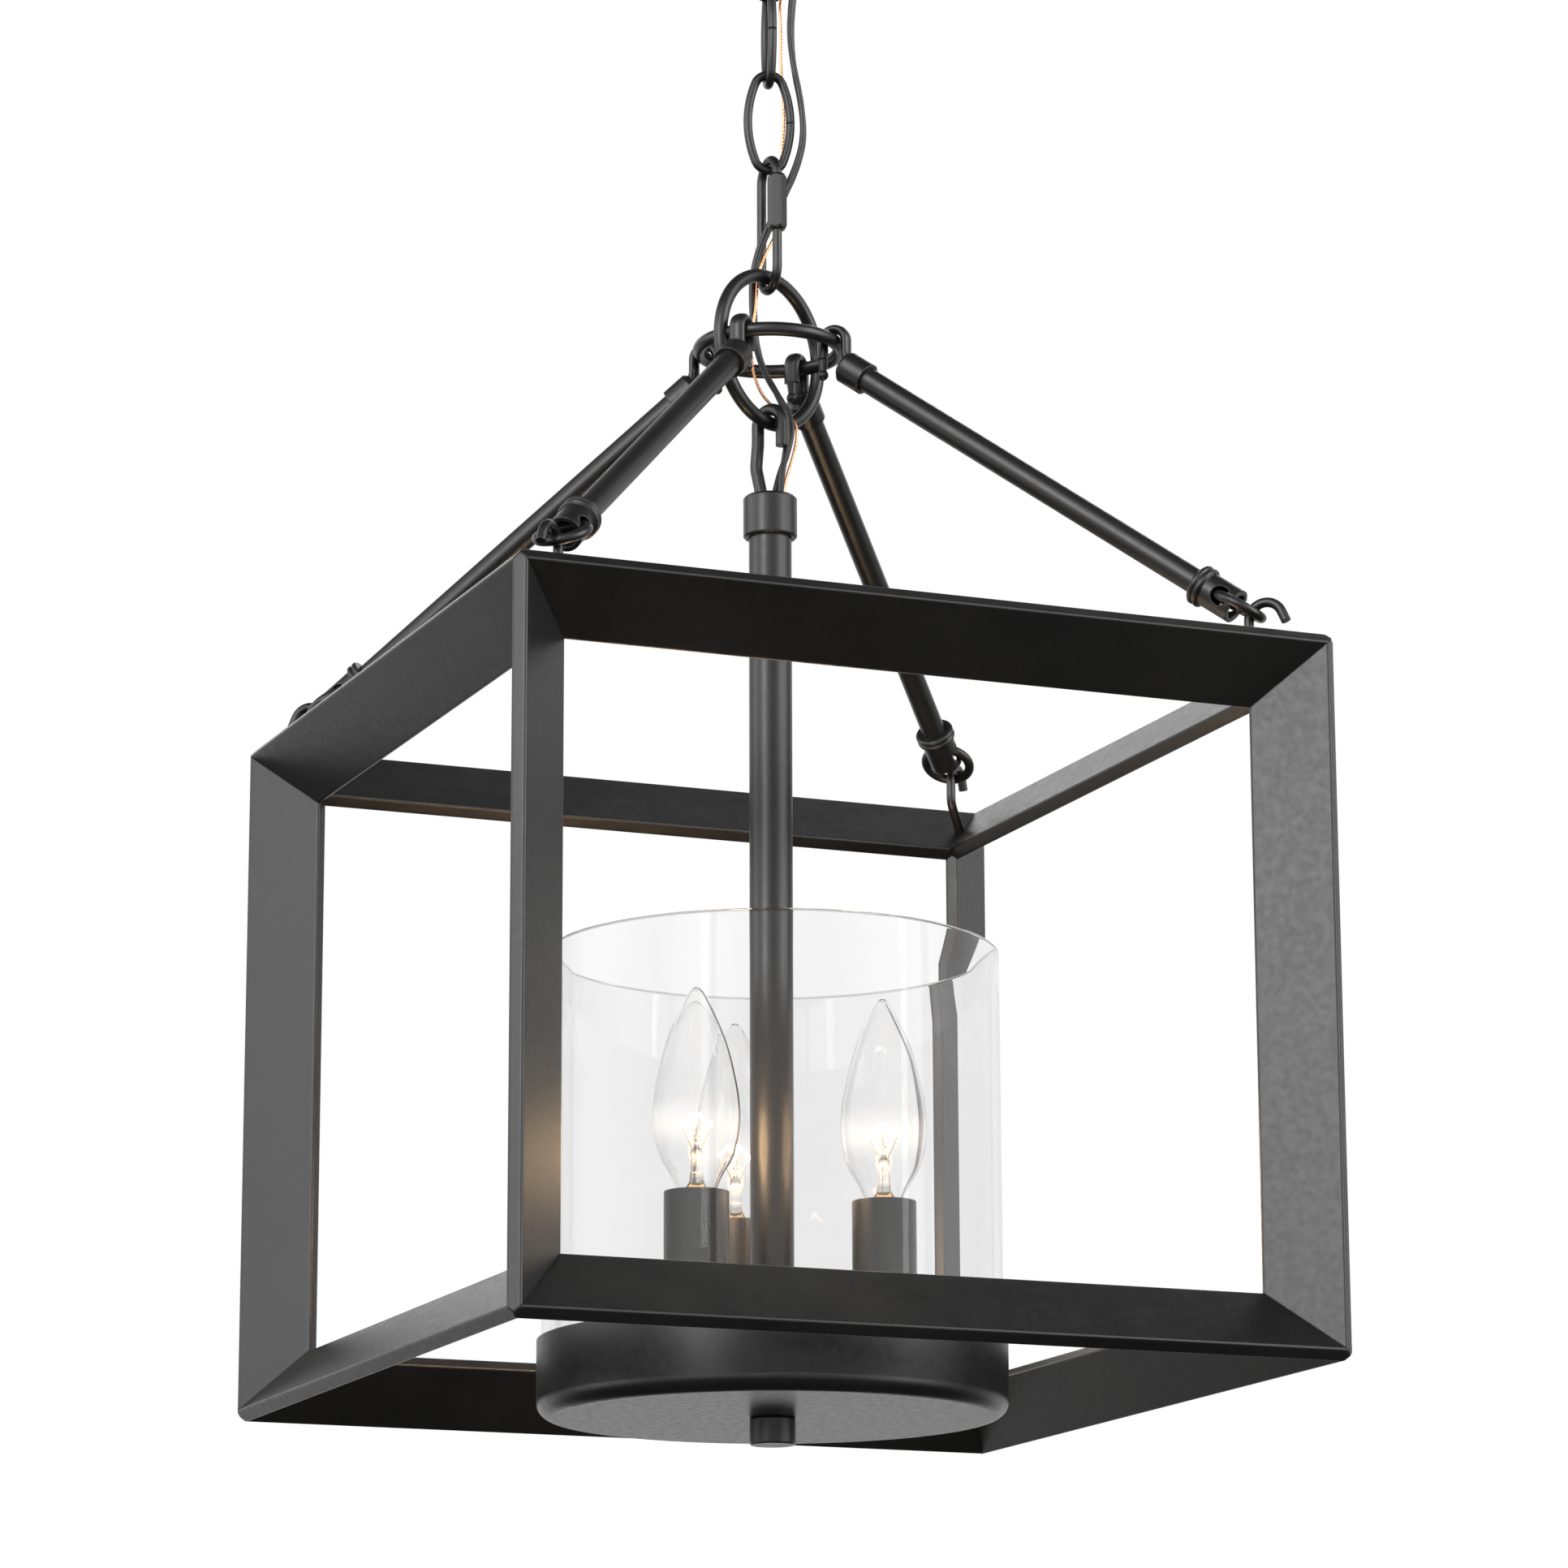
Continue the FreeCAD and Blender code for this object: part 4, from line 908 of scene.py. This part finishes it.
def surroundings():
    """White for the eye and through glass. What lights the pieces and shows in their gloss is a band
    round the horizon, dark overhead and below, and three soft boxes."""
    world = bpy.data.worlds.new("studio")
    SCENE.world = world
    world.use_nodes = True
    tree = world.node_tree
    tree.nodes.clear()

    def feed(socket, value):
        if isinstance(value, bpy.types.NodeSocket):
            tree.links.new(value, socket)
        else:
            socket.default_value = value

    def math_node(operation, *values):
        node = tree.nodes.new("ShaderNodeMath")
        node.operation = operation
        for socket, value in zip(node.inputs, values):
            feed(socket, value)
        return node.outputs[0]

    def along(direction):
        """The cosine of the angle between a ray and a direction."""
        node = tree.nodes.new("ShaderNodeVectorMath")
        node.operation = "DOT_PRODUCT"
        feed(node.inputs[0], ray)
        feed(node.inputs[1], direction)
        return node.outputs["Value"]

    def ramp(value, stops):
        node = tree.nodes.new("ShaderNodeValToRGB")
        feed(node.inputs[0], value)
        while len(node.color_ramp.elements) < len(stops):
            node.color_ramp.elements.new(0.5)
        for element, (at, level) in zip(node.color_ramp.elements, stops):
            element.position = at
            element.color = (level, level, level, 1)
        return node.outputs["Color"]

    ray = tree.nodes.new("ShaderNodeTexCoord").outputs["Generated"]
    height = math_node("MULTIPLY_ADD", along(UP), 0.5, 0.5)
    depth = math_node("MULTIPLY_ADD", along(BACK), 0.5, 0.5)
    mirrored = math_node("MULTIPLY", ramp(height, BAND), ramp(depth, REAR))
    for bearing, level, fall in SOFT_BOXES:
        a = math.radians(bearing)
        towards = (BACK * math.cos(a) + RIGHT * math.sin(a) + UP * BOX_RISE).normalized()
        box = math_node("MULTIPLY", ramp(along(towards), fall), level)
        mirrored = math_node("ADD", mirrored, box)

    rays = tree.nodes.new("ShaderNodeLightPath").outputs
    mix = tree.nodes.new("ShaderNodeMix")
    feed(mix.inputs["Factor"], math_node("MAXIMUM", rays["Is Camera Ray"], rays["Is Transmission Ray"]))
    feed(mix.inputs["A"], mirrored)
    feed(mix.inputs["B"], 1.0)
    background = tree.nodes.new("ShaderNodeBackground")
    feed(background.inputs["Color"], mix.outputs["Result"])
    output = tree.nodes.new("ShaderNodeOutputWorld")
    feed(output.inputs["Surface"], background.outputs[0])


def pale_floor():
    """The floor, which the pieces' gloss doesn't show."""
    height = CAD_BOX[0].z - FLOOR_DROP
    corners = [(x * FLOOR_REACH, y * FLOOR_REACH, height) for x, y in ((-1, -1), (1, -1), (1, 1), (-1, 1))]
    mesh = bpy.data.meshes.new("floor")
    mesh.from_pydata(corners, [], [(0, 1, 2, 3)])
    mesh.materials.append(floor_paint())
    floor = bpy.data.objects.new("floor", mesh)
    SCENE.collection.objects.link(floor)
    floor.visible_glossy = False
    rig.stage(floor)


def studio_lights():
    """Strips that draw the lines of light along the tubes, and a soft light from above."""
    middle = (CAD_BOX[0] + CAD_BOX[1]) / 2
    for name, sideways, forward, rise, wide, tall, power in STRIPS:
        at = middle + RIGHT * sideways - BACK * forward + UP * rise
        area_light(name, at, middle, (wide, tall), power)
    above = middle + UP * OVERHEAD_RISE
    area_light("overhead", above, middle, (OVERHEAD_SIZE, OVERHEAD_SIZE), OVERHEAD_POWER, seen=False)


def lamp_light(name, at, body):
    """The warm light of one filament."""
    light = bpy.data.lights.new(name, "POINT")
    light.energy = LAMP_POWER
    light.color = LAMP_COLOR
    light.shadow_soft_size = LAMP_RADIUS
    obj = bpy.data.objects.new(name, light)
    SCENE.collection.objects.link(obj)
    obj.location = at
    obj.visible_camera = False
    obj.visible_transmission = False
    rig.ride(obj, body)


# ---------------------------------------------------------------- everything

SCENE.view_settings.view_transform = "Standard"
make_camera()

hot_spots = [filament_spot(f"bulb_{number}") for number in (1, 2, 3)]

shades = {
    "black_metal": black_metal(),
    "plated_steel": plated_steel(),
    "socket_body": socket_body(),
    "clear_glass": clear_glass(),
    "bulb_glass": bulb_glass(hot_spots),
    "mount_glass": mount_glass(),
    "lead_metal": lead_metal(),
    "base_brass": base_brass(),
    "filament": filament_glow(),
    "wire_jacket": wire_jacket(),
    "bare_copper": bare_copper(),
}

for part in frame["record"]["subparts"]:
    finish_node(part["node"], shades[part["material_slot"]])

for name in ("lamp_wire_1", "lamp_wire_2"):
    lay_cord(name, CONDUCTOR, jacket_section, shades["wire_jacket"], "wire_jacket")
lay_cord("earth_wire", EARTH, strand_section, shades["bare_copper"], "bare_copper")

glass_cylinder(shades["clear_glass"])
for number, spot in enumerate(hot_spots, 1):
    candle_bulb(number, shades)
    lamp_light(f"lamp_light_{number}", spot, f"bulb_{number}")

surroundings()
pale_floor()
studio_lights()

visual_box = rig.bounds()
with open("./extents.json", "w") as out:
    json.dump({"cad": [list(c) for c in CAD_BOX], "visual": [list(c) for c in visual_box]}, out)
